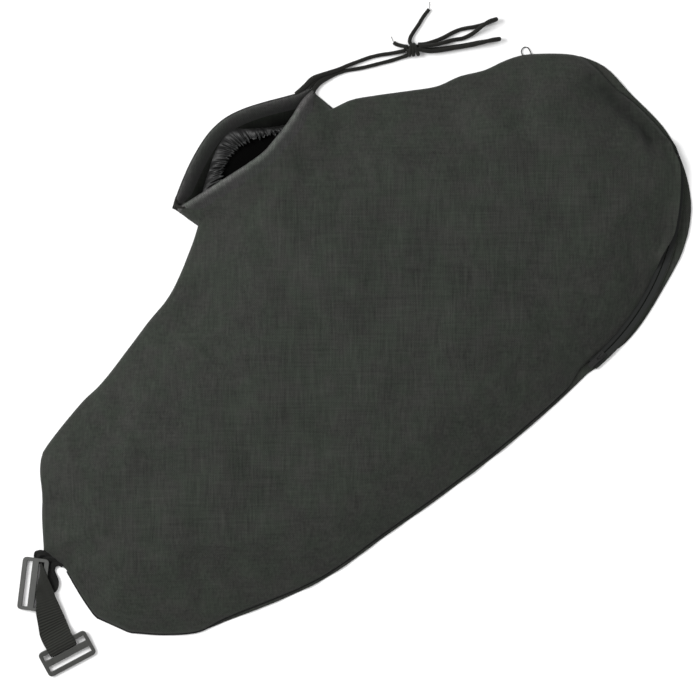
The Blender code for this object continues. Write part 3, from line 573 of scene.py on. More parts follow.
def refine(item):
    modifier = item.modifiers.new("smooth surface", "SUBSURF")
    modifier.levels = 1
    modifier.render_levels = 1


def transported_frames(path):
    """Two unit vectors across each step of a path, which don't twist."""
    travel = np.gradient(path, axis=0)
    travel /= np.linalg.norm(travel, axis=1)[:, None]
    side = np.cross(travel[0], [0, 0, 1.0])
    if np.linalg.norm(side) < 1e-3:
        side = np.array([1.0, 0, 0])
    sides = []
    for t in travel:
        side = side - t * (side @ t)
        side = side / np.linalg.norm(side)
        sides.append(side)
    sides = np.array(sides)
    return sides, np.cross(travel, sides)


def sweep_arrays(path, radius, sides):
    """Points, faces and surface coordinates of a capped tube along a path."""
    count = len(path)
    side, over = transported_frames(path)
    along = distances_along(path)
    radius = np.broadcast_to(radius, (count,))
    points, uvs = [], []
    for turn in np.linspace(0, 2 * math.pi, sides, endpoint=False):
        across = side * (radius * math.cos(turn))[:, None] + over * (radius * math.sin(turn))[:, None]
        points.append(path + across)
        uvs.append(np.stack([np.full(count, turn * radius.mean()), along], axis=1))
    points = np.stack(points, axis=1).reshape(-1, 3)
    uvs = np.stack(uvs, axis=1).reshape(-1, 2)
    faces = grid_faces(count, sides, closed=True)
    faces.append(tuple(range(sides))[::-1])
    faces.append(tuple(range((count - 1) * sides, count * sides)))
    return points, faces, uvs


def tube(name, path, radius, look, sides):
    points, faces, uvs = sweep_arrays(path, radius, sides)
    return make_object(name, points, faces, look, uvs)


# --- Panels


def lip_edge(lip, inset, step):
    path = shifted(spline(lip, 0.5), inset)
    left = NECK_LEFT[0] - (path[:, 1] - NECK_LEFT[1]) * NECK_LEFT_LEAN + NECK_CLEAR
    right = NECK_RIGHT[0] - (path[:, 1] - NECK_RIGHT[1]) * NECK_RIGHT_LEAN - NECK_CLEAR
    return resample(path[(path[:, 0] > left) & (path[:, 0] < right)], step)


def zip_angle(flat):
    away = flat - ZIP_CENTRE
    return np.degrees(np.arctan2(away[:, 1], away[:, 0]))


def flap_share(flat):
    """How fully the flap hangs over the zip, by the direction of flat points from the zip's centre."""
    turn = zip_angle(flat)
    start, full, last, end = FLAP_ANGLES
    return smooth_step((start - turn) / (start - full)) * smooth_step((turn - end) / (last - end))


def front_zip_edge(step):
    """The front panel's edge along the zip, with the flap that hides the zip's upper end."""
    arc = zip_arc(1.0, ZIP_FRONT_ANGLES, step)
    radius = ZIP_RADIUS - ZIP_FRONT_INSET + FLAP_REACH * flap_share(arc)
    return ZIP_CENTRE + (arc - ZIP_CENTRE) * radius[:, None]


def flap_height(flat, height):
    """The flap's cloth bulges over the slider's way."""
    radius = np.linalg.norm(flat - ZIP_CENTRE, axis=1)
    turn = zip_angle(flat)
    beside_zip = smooth_step((FLAP_RISE[0] - turn) / 4.5) * smooth_step((turn - FLAP_RISE[1]) / 5.0)
    raised = FLAP_Z * beside_zip * smooth_step((radius - ZIP_RADIUS + 14.0) / 8.0)
    return np.maximum(height, raised)


def sewn_edge(front, step):
    if front:
        arc = front_zip_edge(step)
        bottom = [(x, y + BACK_SHOWS) for x, y in BOTTOM_EDGE]
        top = spline(TOP_EDGE + FRONT_TOP_CORNER + [tuple(arc[0])], step)
        low = spline([tuple(arc[-1])] + FRONT_AFTER_ZIP + bottom + NARROW_END, step)
    else:
        top = spline(TOP_EDGE + BACK_ROUND_END[:5], step)
        arc = spline(BACK_ROUND_END[4:], step)
        low = spline([BACK_ROUND_END[-1]] + BOTTOM_EDGE + NARROW_END, step)
    return top, arc, low, spline(LEFT_EDGE, step)


def inside(outline, points):
    edge = np.vstack([outline, outline[:1]])
    crossings = np.zeros(len(points), dtype=int)
    for (ax, ay), (bx, by) in zip(edge[:-1], edge[1:]):
        spans = (ay > points[:, 1]) != (by > points[:, 1])
        reach = ax + (points[:, 1] - ay) * (bx - ax) / (by - ay if by != ay else 1.0)
        crossings += spans & (points[:, 0] < reach)
    return crossings % 2 == 1


def panel_plan(lip, front, lip_inset, step, rows):
    """Flat points of a panel, its faces, its distance from the sewn edge and its distance from the lip."""
    top, arc, low, left = sewn_edge(front, step)
    sewn = [np.vstack([top, arc[1:], low[1:]]), left]
    mouth = lip_edge(lip, lip_inset, step)
    outline = np.vstack([sewn[0], sewn[1], mouth])
    closed = np.vstack([outline, outline[:1]])
    rings = []
    for row in rows:
        for run in sewn:
            rings.append(shifted(run, row))
        rings.append(shifted(mouth, row))
    rings = np.vstack(rings)
    far = distance_to(closed, rings)
    reach = np.concatenate([[row] * (len(sewn[0]) + len(sewn[1]) + len(mouth)) for row in rows])
    rings = rings[(far > 0.93 * reach) & inside(outline, rings)]
    low_corner, high_corner = outline.min(axis=0), outline.max(axis=0)
    ys = np.arange(low_corner[1], high_corner[1], step * math.sqrt(0.75))
    xs = np.arange(low_corner[0], high_corner[0], step)
    lattice = np.array([(x + (row % 2) * step / 2, y) for row, y in enumerate(ys) for x in xs])
    lattice = lattice[inside(outline, lattice)]
    lattice = lattice[distance_to(closed, lattice) > rows[-1] + 0.55 * step]
    flat = np.vstack([outline, rings, lattice])
    loop = list(range(len(outline)))[::-1]
    made = delaunay_2d_cdt([tuple(p) for p in flat], [], [loop], 1, 1e-6)
    flat = np.array([tuple(p) for p in made[0]])
    faces = []
    for f in made[2]:
        a, b, c = (flat[i] for i in f[:3])
        turn = (b[0] - a[0]) * (c[1] - a[1]) - (b[1] - a[1]) * (c[0] - a[0])
        faces.append(tuple(f) if turn > 0 else tuple(f)[::-1])
    sides = np.vstack([mouth[-1:], sewn[0], sewn[1], mouth[:1]])
    return flat, faces, distance_to(sides, flat), distance_to(mouth, flat)


LIP_INSET = 3.6  # a panel's cloth ends this far inside its lip's line
FRONT_STEP, FRONT_ROWS = 6.0, (1.2, 3.2, 6.5)  # spacing of the points, and of the rows beside the edge
BACK_STEP, BACK_ROWS = 9.0, (1.5, 4.0, 8.0)
FRONT_EDGE_Z = 1.6
SEAM_ROUNDING = 1.3
HELD_WIDTH = 8  # the cloth is held this near its edges while it settles
MOST_SETTLING = 5.0
SETTLE_FRAMES = 28
CREASE_FADE = 14.0
OVERLOCK_Z = 1.75
CORNERS = [NECK_LEFT, NECK_RIGHT, (178.9, 192.4), (-347.4, -126.4), (-364.3, -91.2)]
CREASES = [  # path, depth, half width: valleys pressed into the front panel
    ([(418, 8), (421, -10), (423, -40), (425, -70), (423, -94)], 8.5, 7.0),
    ([(422, 21), (417, 12), (413, 2), (411, -6)], 2.6, 3.6),
    ([(431, -8), (429, -16), (424, -30)], 2.2, 3.0),
    ([(-301, 39), (-318, 37), (-335, 33)], 1.6, 3.0),
    ([(-317, 13), (-330, 20), (-342, 25)], 1.4, 3.0),
    ([(196, 150), (150, 146), (120, 146)], 1.0, 6.0),
]


def by_creases(flat):
    """For each crease: its depth, its half width, how far points are from it and how it fades at its ends."""
    for path, depth, width in CREASES:
        line = spline(path, 4.0)
        start, end = np.linalg.norm(flat - line[0], axis=1), np.linalg.norm(flat - line[-1], axis=1)
        fade = np.clip(np.minimum(start, end) / CREASE_FADE, 0.25, 1)
        yield depth, width, distance_to(line, flat), fade


def pressed(flat, height):
    """Heights with the creases pressed in, each between two low ridges."""
    for depth, width, near, fade in by_creases(flat):
        valley = np.exp(-((near / width) ** 2))
        ridges = np.exp(-((near / (2.4 * width)) ** 2))
        height = height - depth * fade * (valley - 0.45 * ridges)
    return height


def paint_crease_shade(item, flat):
    """Surface coordinates that say how deep in a crease each point lies, for the shade painted into the
    folds.
    """
    shade = np.zeros(len(flat))
    for depth, width, near, fade in by_creases(flat):
        shade = np.maximum(shade, min(depth / 7.0, 1.0) * fade * np.exp(-((near / (1.5 * width)) ** 2)))
    set_surface(item.data, np.column_stack([shade, shade]))


def settle(item, pinned):
    """Let the cloth find its own folds, with its sewn edges held."""
    group = item.vertex_groups.new(name="held")
    for index, weight in enumerate(pinned):
        if weight > 0:
            group.add([index], float(weight), "REPLACE")
    modifier = item.modifiers.new("cloth", "CLOTH")
    cloth = modifier.settings
    cloth.quality = 6
    cloth.mass = 0.25
    cloth.tension_stiffness = 30
    cloth.compression_stiffness = 30
    cloth.shear_stiffness = 12
    cloth.bending_stiffness = 1.5
    cloth.air_damping = 3
    cloth.vertex_group_mass = "held"
    cloth.pin_stiffness = 1.0
    cloth.shrink_min = -0.012
    cloth.use_pressure = True
    cloth.uniform_pressure_force = 0.6
    cloth.effector_weights.gravity = 0.0
    modifier.collision_settings.use_collision = False
    modifier.point_cache.frame_start = 1
    modifier.point_cache.frame_end = SETTLE_FRAMES
    scene = bpy.context.scene
    for number in range(1, SETTLE_FRAMES + 1):
        scene.frame_set(number)
    shape = item.evaluated_get(bpy.context.evaluated_depsgraph_get())
    mesh = bpy.data.meshes.new_from_object(shape)
    item.modifiers.clear()
    item.data = mesh
    scene.frame_set(1)


def positions(item):
    flat = np.empty(3 * len(item.data.vertices))
    item.data.vertices.foreach_get("co", flat)
    return flat.reshape(-1, 3) / MM


def place(item, points):
    item.data.vertices.foreach_set("co", (points * MM).ravel())
    item.data.update()


def front_base(sides):
    """The front panel's top surface: up over the seam, then lofted."""
    seam = FRONT_EDGE_Z + (SEAM_Z + CLOTH - FRONT_EDGE_Z) * (1 - np.exp(-((sides / SEAM_ROUNDING) ** 2)))
    return seam + LOFT * (1 - np.exp(-sides / LOFT_REACH))


def keep_corners(item, flat):
    """Crease the panel's sharp corners so smoothing doesn't round them."""
    crease = item.data.attributes.new("crease_vert", "FLOAT", "POINT")
    for corner in CORNERS:
        nearest = int(np.argmin(np.linalg.norm(flat - corner, axis=1)))
        crease.data[nearest].value = 1.0


def make_front_panel(look):
    flat, faces, sides, lip = panel_plan(FRONT_LIP, True, LIP_INSET, FRONT_STEP, FRONT_ROWS)
    height = front_base(sides)
    item = make_object("front_panel_cloth", np.column_stack([flat, height]), faces, look)
    held = np.clip(1.5 - np.minimum(sides, lip) / 10.0, 0, 1)
    held[np.minimum(sides, lip) < HELD_WIDTH] = 1
    settle(item, held)
    points = positions(item)
    moved = np.clip(points[:, 2] - height, -MOST_SETTLING, MOST_SETTLING)
    points[:, 2] = height + moved
    free = np.clip((sides - 2.0) / 20.0, 0, 1) * np.clip(lip / 20.0, 0, 1)
    points[:, 2] += free * (0.9 * Waves(95, 3)(flat) + 0.35 * Waves(38, 4)(flat))
    pucker = np.exp(-(((sides - 6.0) / 6.0) ** 2)) * np.clip(lip / 25.0, 0, 1)
    points[:, 2] += pucker * 0.45 * Waves(16, 5)(flat)
    points[:, 2] = pressed(flat, points[:, 2])
    points[:, 2] = np.maximum(points[:, 2], np.where(sides > 1.1, SEAM_Z + CLOTH, 1.5))
    points[:, 2] = flap_height(flat, points[:, 2])
    place(item, points)
    keep_corners(item, flat)
    paint_crease_shade(item, flat)
    refine(item)
    thicken(item, CLOTH)
    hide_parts("front_panel")
    return item


def make_back_panel(look):
    flat, faces, sides, lip = panel_plan(BACK_LIP, False, LIP_INSET, BACK_STEP, BACK_ROWS)
    edge = np.exp(-sides / 9.0) * np.clip(lip / 20, 0, 1)
    height = CLOTH + 0.15 + edge * (0.5 + 0.45 * Waves(30, 11)(flat))
    height = np.maximum(height, CLOTH)
    on_track = np.abs(np.linalg.norm(flat - ZIP_CENTRE, axis=1) - ZIP_RADIUS) < ZIP_TRACK
    height[on_track] = CLOTH + 0.1
    item = make_object("back_panel_cloth", np.column_stack([flat, height]), faces, look)
    thicken(item, CLOTH)
    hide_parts("back_panel")
    return item


def make_seam_line(look):
    """Dark overlock thread along the sewn bottom edge, between the front panel and the back one, also
    standing in for the shade line under the front panel's edge.
    """
    low = sewn_edge(True, 5.0)[2][6:-1]
    path = np.column_stack([shifted(low, -0.5), np.full(len(low), OVERLOCK_Z)])
    item = tube("seam_overlock_and_shade_line", path, 0.75, look, sides=8)


THREAD_LOOP = [
    (377.6, 79.2, 1.4), (378.6, 82.6, 1.2), (381.6, 84.6, 1.1), (384.9, 84.4, 1.1), (387.0, 81.6, 1.2),
    (386.6, 77.6, 1.3), (385.2, 73.6, 1.6),
]


def make_thread_loop(look):
    item = tube("thread_loop_strand", spline(THREAD_LOOP, 1.0), 0.55, look, sides=8)
    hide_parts("thread_loop")


# --- Mouth


HEM_EDGE = 3.4  # a lip's outer edge lies this far outside the middle of its casing
HEM_REACH = 13.0  # and its hem is sewn down this far inside it
FACING_STARTS = 9.0  # the neck's lining begins this far inside the back lip
FACING_ENDS_Y = 112.0
FACING_Z = 1.75
FACING_ROWS = 26
HEM_ENDS = (-17.5, 181.5)  # the hems' ends, in X
HEM_TAPER = 22.0
HEM_SINK = 0.4  # the front hem's tail is sewn this far into the panel
BACK_TAIL_Z = 1.5
LINING = 0.3
CUFF_COLUMNS, CUFF_ROWS = 640, 30
CUFF_PUFF = 2.6
PLEAT_DEPTH = 1.9


def hem_section(tail, share):
    """A hem's closed section: distance inward and height.  It tapers from a rolled edge to a sewn tail."""
    roll = [(-3.4, 0.0), (-3.1, 1.3), (-2.2, 2.1), (-1.0, 2.5), (0.4, 2.45)]
    inside_z = tail + 0.25
    places = (1.4, 3.0, 5.5, 8.0, 10.5, 12.4)
    slope = [(x, 2.4 + (inside_z - 2.4) * smooth_step(x / HEM_REACH)) for x in places]
    under = [(HEM_REACH, tail + 0.1), (12.4, tail - 0.1), (8.0, tail - 0.35), (3.0, -2.0), (-0.8, -2.35)]
    back = [(-2.2, -2.1), (-3.1, -1.2)]
    section = np.array(roll + slope + under + back)
    section[:, 0] = -HEM_EDGE + (section[:, 0] + HEM_EDGE) * share
    return section


def make_hem(name, lip, middle_z, tail_z, look):
    """The hem of one lip, from the mouth's left corner to its right one."""
    edge = spline(lip, 2.0)
    flat = shifted(edge, HEM_EDGE)
    inward = shifted(edge, 1.0) - edge
    ends = np.minimum(flat[:, 0] - HEM_ENDS[0], HEM_ENDS[1] - flat[:, 0])
    keep = ends > 0
    flat, inward, ends = flat[keep], inward[keep], ends[keep]
    high = middle_z(flat, inward)
    tails = tail_z(flat + inward * HEM_REACH) - high
    along = distances_along(flat)
    points, uvs = [], []
    for i, (spot, turn, end) in enumerate(zip(flat, inward, ends)):
        share = 0.35 + 0.65 * smooth_step(end / HEM_TAPER)
        section = hem_section(tails[i], share)
        lift = 0.10 * math.sin(0.55 * along[i]) + 0.07 * math.sin(1.3 * along[i] + 1)
        section[3:10, 1] += lift
        for x, z in section:
            points.append((spot[0] + turn[0] * x, spot[1] + turn[1] * x, max(high[i] + z, 0.05)))
            uvs.append((x + HEM_EDGE, along[i]))
    size = len(section)
    count = len(flat)
    faces = grid_faces(count, size, closed=True)
    faces.append(tuple(range(size))[::-1])
    faces.append(tuple(range((count - 1) * size, count * size)))
    item = make_object(name, points, faces, look, uvs)
    turn_outward(item)
    return item


def turn_outward(item):
    work = bmesh.new()
    work.from_mesh(item.data)
    bmesh.ops.recalc_face_normals(work, faces=work.faces)
    work.to_mesh(item.data)
    work.free()


def front_middle(flat, inward):
    """Height of the front lip's casing: it follows the front panel beside it."""
    top, arc, low, left = sewn_edge(True, 11.0)
    mouth = lip_edge(FRONT_LIP, 2 * CASING_HALF_WIDTH + GAP, 11.0)
    edge = np.vstack([mouth[-1:], top, arc[1:], low[1:], left, mouth[:1]])
    sides = distance_to(edge, flat + inward * (CASING_HALF_WIDTH + GAP))
    return SEAM_Z + CLOTH / 2 + LOFT * (1 - np.exp(-sides / LOFT_REACH))


def back_middle(flat, inward):
    return np.full(len(flat), BACK_HEM_Z)


def panel_heights(panel):
    """A function that gives the heights of a panel's top surface under flat points."""
    tree = BVHTree.FromPolygons(positions(panel).tolist(), [tuple(p.vertices) for p in panel.data.polygons])

    def heights(flat):
        found = []
        for x, y in flat:
            hit = tree.ray_cast(Vector((x, y, 100.0)), Vector((0, 0, -1)))[0]
            found.append(hit.z if hit else SEAM_Z)
        return np.array(found)

    return heights


def make_mouth_hems(panel, front_look, back_look):
    on_panel = panel_heights(panel)

    def front_tail(flat):
        return on_panel(flat) - HEM_SINK

    def back_tail(flat):
        return np.full(len(flat), BACK_TAIL_Z)

    front = make_hem("front_lip_hem", FRONT_LIP, front_middle, front_tail, front_look)
    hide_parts("mouth_casing")
    make_hem("back_lip_hem", BACK_LIP, back_middle, back_tail, back_look)


def make_collar_facing(look):
    """The lining of the neck's back wall, seen through the mouth; its material paints the shade inside the
    neck.
    """
    lip = shifted(spline(BACK_LIP, 3.0), FACING_STARTS)
    start, end = NECK_LEFT[0] + 4.0, NECK_RIGHT[0] - 4.0
    lip = lip[(lip[:, 0] > start) & (lip[:, 0] < end)]
    foot = np.column_stack([np.linspace(start, end, len(lip)), np.full(len(lip), FACING_ENDS_Y)])
    points, uvs = [], []
    for share in np.linspace(0, 1, FACING_ROWS):
        row = lip + (foot - lip) * share
        wave = 0.35 * np.sin(row[:, 0] * 0.11 + 4 * share) * smooth_step(3 * share)
        points.append(np.column_stack([row, FACING_Z + wave]))
        uvs.append(np.stack([FACING_STARTS + distance_to(lip, row), row[:, 0]], axis=1))
    count = len(lip)
    faces = []
    for r in range(len(points) - 1):
        for i in range(count - 1):
            a = r * count + i
            faces.append((a, a + count, a + count + 1, a + 1))
    item = make_object("collar_facing", np.vstack(points), faces, look, np.vstack(uvs))
    thicken(item, LINING, even=False)
    return item


def ring_point(turn):
    """The gathered end's ring, drawn lower at its far right than a true oval."""
    across, deep = math.cos(turn), math.sin(turn)
    spot = RING_CENTRE + np.array([RING_HALF_WIDTH * across, -RING_HALF_DEPTH * deep, RING_RISE * deep])
    if deep < 0:
        spot[1] -= 9.0 * smooth_step((spot[0] - 76.0) / 45.0)
    return spot


def make_cuff(look):
    """Gathered lining: fine uneven pleats that deepen towards the elastic and end in a ruffle."""
    outer = spline(CUFF_SEWN_EDGE, 2.0, closed=True)
    outer = np.vstack([outer, outer[:1]])
    outer = resample(outer, length_of(outer) / CUFF_COLUMNS, closed=True)
    count = len(outer)
    inner = []
    for spot in outer:
        away = spot - RING_CENTRE
        inner.append(ring_point(math.atan2(-away[1] / RING_HALF_DEPTH, away[0] / RING_HALF_WIDTH)))
    inner = np.array(inner)
    rng = np.random.default_rng(21)
    around = np.linspace(0, 2 * math.pi, count, endpoint=False)

    def ripple(pairs, drift):
        phase = rng.uniform(0, 2 * math.pi, len(pairs))
        return sum(size * np.sin(turns * around + drift + p) for (turns, size), p in zip(pairs, phase))

    wander = ripple(((3, 0.9), (5, 0.7), (8, 0.5), (13, 0.3)), 0)
    broad = ripple(((19, 0.7), (31, 0.6)), 1.4 * wander)
    fine = ripple(((61, 0.8), (83, 0.6), (109, 0.5)), 2.4 * wander)
    crimp = ripple(((151, 0.6), (187, 0.4)), 3.0 * wander)
    inward = (inner - outer) / np.linalg.norm(inner - outer, axis=1)[:, None]
    rings, uvs = [], []
    for row in range(CUFF_ROWS + 1):
        v = row / CUFF_ROWS
        share = v * (1 + (0.06 * broad + 0.035 * fine) * v ** 2)
        ring = outer + (inner - outer) * share[:, None]
        puff = CUFF_PUFF * math.sin(math.pi * min(1.15 * v, 1.0)) ** 0.8
        depth = PLEAT_DEPTH * v ** 1.5
        pleats = depth * (0.75 * fine + 0.55 * crimp * v)
        high = puff * (1 + 0.22 * broad) + pleats + 0.9 * math.sin(math.pi * v) * broad
        ring[:, 2] += high
        ring[:, :2] += inward[:, :2] * (0.9 * depth * np.roll(fine, 2) * v)[:, None]
        rings.append(ring)
        uvs.append(np.stack([around * 40, np.full(count, v * CUFF_SPAN)], axis=1))
    points = np.vstack(rings)
    points[:, 2] = np.maximum(points[:, 2], 1.8)
    faces = grid_faces(CUFF_ROWS + 1, count, closed=True)
    item = make_object("cuff_lining", points, faces, look, np.vstack(uvs))
    thicken(item, LINING, offset=0.0, even=False)
    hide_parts("inner_cuff", "cuff_elastic")
    return item


# --- Strap


def by_bar(along, off, z):
    """A point given along the upper bar, off it towards the buckle's free side, and its height."""
    along_bar, off_bar = direction(UPPER_BAR_ANGLE), direction(UPPER_BAR_ANGLE + 90)
    return np.array([*UPPER_BAR, 0.0]) + along * along_bar + off * off_bar + [0, 0, z]


def by_lower_bar(side, away, z):
    """The same for the lower bar: side is -1 or 1 for the webbing's two edges."""
    spot = np.array([*LOWER_BAR, 0.0]) + (LOWER_WRAP + side * WEB_HALF_WIDTH) * direction(LOWER_BAR_ANGLE)
    return spot + away * direction(LOWER_BAR_ANGLE + 90) + [0, 0, z]


def lower_turn():
    """The webbing goes over the lower bar, down through its slot and back under it, sewn to itself."""
    turn = []
    for angle in (80, 110, 140, 165, 190, 215, 245, 275):
        around = math.radians(angle)
        reach = WRAP_RADIUS if math.cos(around) > 0 else SLOT_REACH
        turn.append((reach * math.cos(around), BAR_Z + WRAP_RADIUS * math.sin(around)))
    return turn + [(8.0, BAR_Z - WRAP_RADIUS), (RETURN_LENGTH, BAR_Z - WRAP_RADIUS - 0.1)]


def strap_edges():
    """Pairs of points, one on each edge of the webbing, from the bag's seam to its sewn-back end."""
    pairs = [
        ((-361.0, -1.0, 2.6), (-355.4, -26.5, 2.6)),
        ((-366.0, 4.2, 3.0), (-359.8, -23.0, 2.8)),
        ((-370.5, 5.6, 2.6), (-363.4, -21.4, 2.6)),
        ((-374.2, 2.6, 2.0), (-367.6, -24.5, 2.4)),
        ((-375.2, -2.0, 1.1), (-369.4, -32.5, 3.0)),
        ((-373.0, -7.5, 1.0), (-373.5, -38.5, 3.4)),
        ((-371.5, -12.0, 1.0), (-380.5, -42.0, 2.4)),
        (by_bar(23.0, 1.5, 1.0), by_bar(-11.0, -4.0, 1.4)),
        (by_bar(24.0, 5.0, 1.6), by_bar(-9.0, 3.0, 1.0)),
        (by_bar(24.2, 6.2, 4.4), by_bar(-7.8, 6.6, 3.4)),
        (by_bar(22.0, 4.6, 7.0), by_bar(-7.8, 7.8, 6.0)),
        (by_bar(15.0, 0.6, 8.2), by_bar(-8.4, 8.2, 7.4)),
        (by_bar(5.0, -5.4, 7.8), by_bar(-8.6, 7.6, 7.8)),
        (by_bar(-5.5, -11.4, 6.6), by_bar(-10.6, 7.8, 8.0)),
        ((-383.7, -45.0, 5.8), (-403.6, -37.4, 8.0)),
        ((-386.5, -55.0, 4.8), (-411.0, -45.6, 7.4)),
        ((-389.6, -66.0, 4.2), (-417.4, -56.2, 5.6)),
        ((-392.1, -74.2, 3.4), by_lower_bar(-1, 18.5, 3.8)),
        ((-394.6, -82.2, 5.4), (-426.7, -76.2, 5.4)),
    ]
    pairs += [(by_lower_bar(1, away, z), by_lower_bar(-1, away, z)) for away, z in lower_turn()]
    return np.array([a for a, _ in pairs]), np.array([b for _, b in pairs])


def even_edges(step):
    """Both edges at the same even spacing along the webbing's middle."""
    one, other = strap_edges()
    both = spline(np.hstack([one, other]), step / 1.5)
    middle = (both[:, :3] + both[:, 3:]) / 2
    along = distances_along(middle)
    places = np.linspace(0, along[-1], round(along[-1] / step))
    both = np.stack([np.interp(places, along, both[:, k]) for k in range(6)], axis=1)
    return both[:, :3], both[:, 3:], places


def make_strap(look):
    """Webbing bunched where it leaves the seam, folded aslant over the upper bar, flat at the lower one."""
    one, other, along = even_edges(1.0)
    middle = (one + other) / 2
    width = np.linalg.norm(other - one, axis=1)
    side = (other - one) / width[:, None]
    normal = np.cross(np.gradient(middle, axis=0), side)
    normal /= np.linalg.norm(normal, axis=1)[:, None]
    slack = np.clip((2 * WEB_HALF_WIDTH - width) / (2 * WEB_HALF_WIDTH), 0, 1)
    bunch = np.exp(-((along - 9.0) / 9.0) ** 2)
    points, uvs = [], []
    for c in np.linspace(-1, 1, STRAP_COLUMNS):
        fold = 1.5 * bunch * math.sin(9.5 * c + 0.6) + 0.9 * bunch * np.sin(17 * c + 0.35 * along)
        fold += 0.5 * slack * np.sin(7.0 * c + 0.12 * along)
        flat_part = np.clip((along - 35) / 10, 0, 1), np.clip((88 - along) / 20, 0, 1)
        crease = 0.45 * np.sin(0.30 * along + 2.4 * c) * flat_part[0] * flat_part[1]
        spot = middle + side * (0.5 * width * c)[:, None] + normal * (fold + crease)[:, None]
        spot[:, 2] = np.maximum(spot[:, 2], 0.75)
        points.append(spot)
        uvs.append(np.stack([np.full(len(middle), c * WEB_HALF_WIDTH), along], axis=1))
    count = len(middle)
    faces = []
    for c in range(STRAP_COLUMNS - 1):
        for i in range(count - 1):
            a = c * count + i
            faces.append((a, a + 1, a + count + 1, a + count))
    item = make_object("strap_webbing", np.vstack(points), faces, look, np.vstack(uvs), body="strap")
    thicken(item, WEB - 0.2, offset=0.0, even=False)
    soften(item, 0.4)
    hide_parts("strap")
    return item


def soften(item, width):
    bevel = item.modifiers.new("soft edge", "BEVEL")
    bevel.width = width * MM
    bevel.segments = 2
    bevel.limit_method = "ANGLE"
    bevel.angle_limit = math.radians(60)


# --- Cords

ROUTES = {
    "drawstring_lead_upper": [
        (162.4, 203.9, 3.3), (170, 203.6, 3.4), (178.5, 203.9, 4.2), (186, 204.6, 5), (194.7, 202.6, 5.3),
        (205, 198.6, 5.3), (216, 194.4, 5.2), (227.8, 190.8, 3.6), (238.9, 187, 2.2), (249.6, 183, 2),
        (259.6, 178, 2), (268.6, 172.4, 2.4), (277.2, 167.4, 4), (283.2, 164.1, 5.2),
    ],
    "drawstring_lead_lower": [
        (175.4, 192.6, 4.6), (180.6, 194.9, 3), (186, 196.6, 2.1), (193.6, 197, 2), (205.3, 194.4, 2),
        (217.9, 190, 2), (226, 185.4, 2), (235.4, 180, 2), (245.4, 175, 2), (255.7, 170.1, 2),
        (265.8, 165.3, 2), (274.1, 161.8, 2.2), (280.4, 159.3, 3.4), (283.9, 158.4, 4.6),
    ],
    "bow_loop_upper": [
        (298.4, 160.2, 3.4), (303.2, 156.6, 2.6), (310.3, 153.2, 2), (323.7, 148.6, 2), (333.1, 146.6, 2),
        (342.5, 144, 2), (350.1, 140.2, 2), (357, 136, 2), (364.5, 132.4, 2), (373, 129.4, 2.4),
        (378.6, 127.4, 4.4), (380.6, 126.8, 7.4), (378.4, 127.6, 10.4), (372.4, 129.8, 12),
        (364.5, 130.8, 10.2), (355.5, 131.2, 6), (347.5, 132.2, 3), (339, 134.8, 2.2), (331, 139.6, 2.4),
        (322.8, 143, 5), (313, 147.6, 6.8), (305, 152.6, 7.4), (298, 158.4, 8.2),
    ],
    "bow_loop_lower": [
        (297.4, 154.4, 3.2), (302.2, 149.6, 2.4), (307.9, 145.6, 2), (318.7, 138.4, 2), (328.8, 132.2, 2),
        (338.2, 126.6, 2), (348.2, 121, 2), (357.8, 115.4, 2), (364.2, 111.4, 2.6), (368.2, 108.9, 4.6),
        (369.4, 108.2, 7.4), (367.2, 109.6, 10.2), (362.4, 112.4, 11.4), (354.1, 116.4, 9.4),
        (343.7, 121.6, 7), (334.1, 127, 6.4), (323.4, 133.4, 6.4), (312.6, 139.6, 6.6), (303.4, 146, 7),
        (297.2, 152.8, 7.8),
    ],
    "drawstring_end_long": [
        (292.3, 166.1, 4.2), (293.9, 169.4, 3), (297.4, 171.8, 2.2), (302.3, 173.6, 2), (308, 175.2, 2),
        (313.4, 176.8, 2), (321.6, 179.6, 2), (331.7, 181.9, 2),
    ],
    "drawstring_end_short": [
        (287.6, 165.6, 6.6), (284.6, 169.4, 4.6), (281.8, 173.2, 2.6), (280.2, 176.2, 2), (279.5, 179, 2),
    ],
}
# a short strand where the leads cross
TWIST = [(176.0, 198.6, 3.4), (181.0, 200.4, 3.4), (187.5, 201.0, 3.4), (196.0, 199.6, 3.4)]
FRAY_RADIUS = 0.30
FATTER = 1.04  # the slack cord is a little thicker than when pulled
LOOPS_FATTER = 1.06
LEADS_BUNCHED = 0.5  # and the leads are this much thicker where they leave the casing together
FRAYS = {
    "drawstring_end_long": [(331.7, 181.9, 2.2), (334.6, 184.6, 1.2), (337.4, 187.8, 0.5)],
    "drawstring_end_short": [(279.5, 179.0, 2.2), (280.6, 182.4, 1.2), (281.6, 185.8, 0.5)],
}


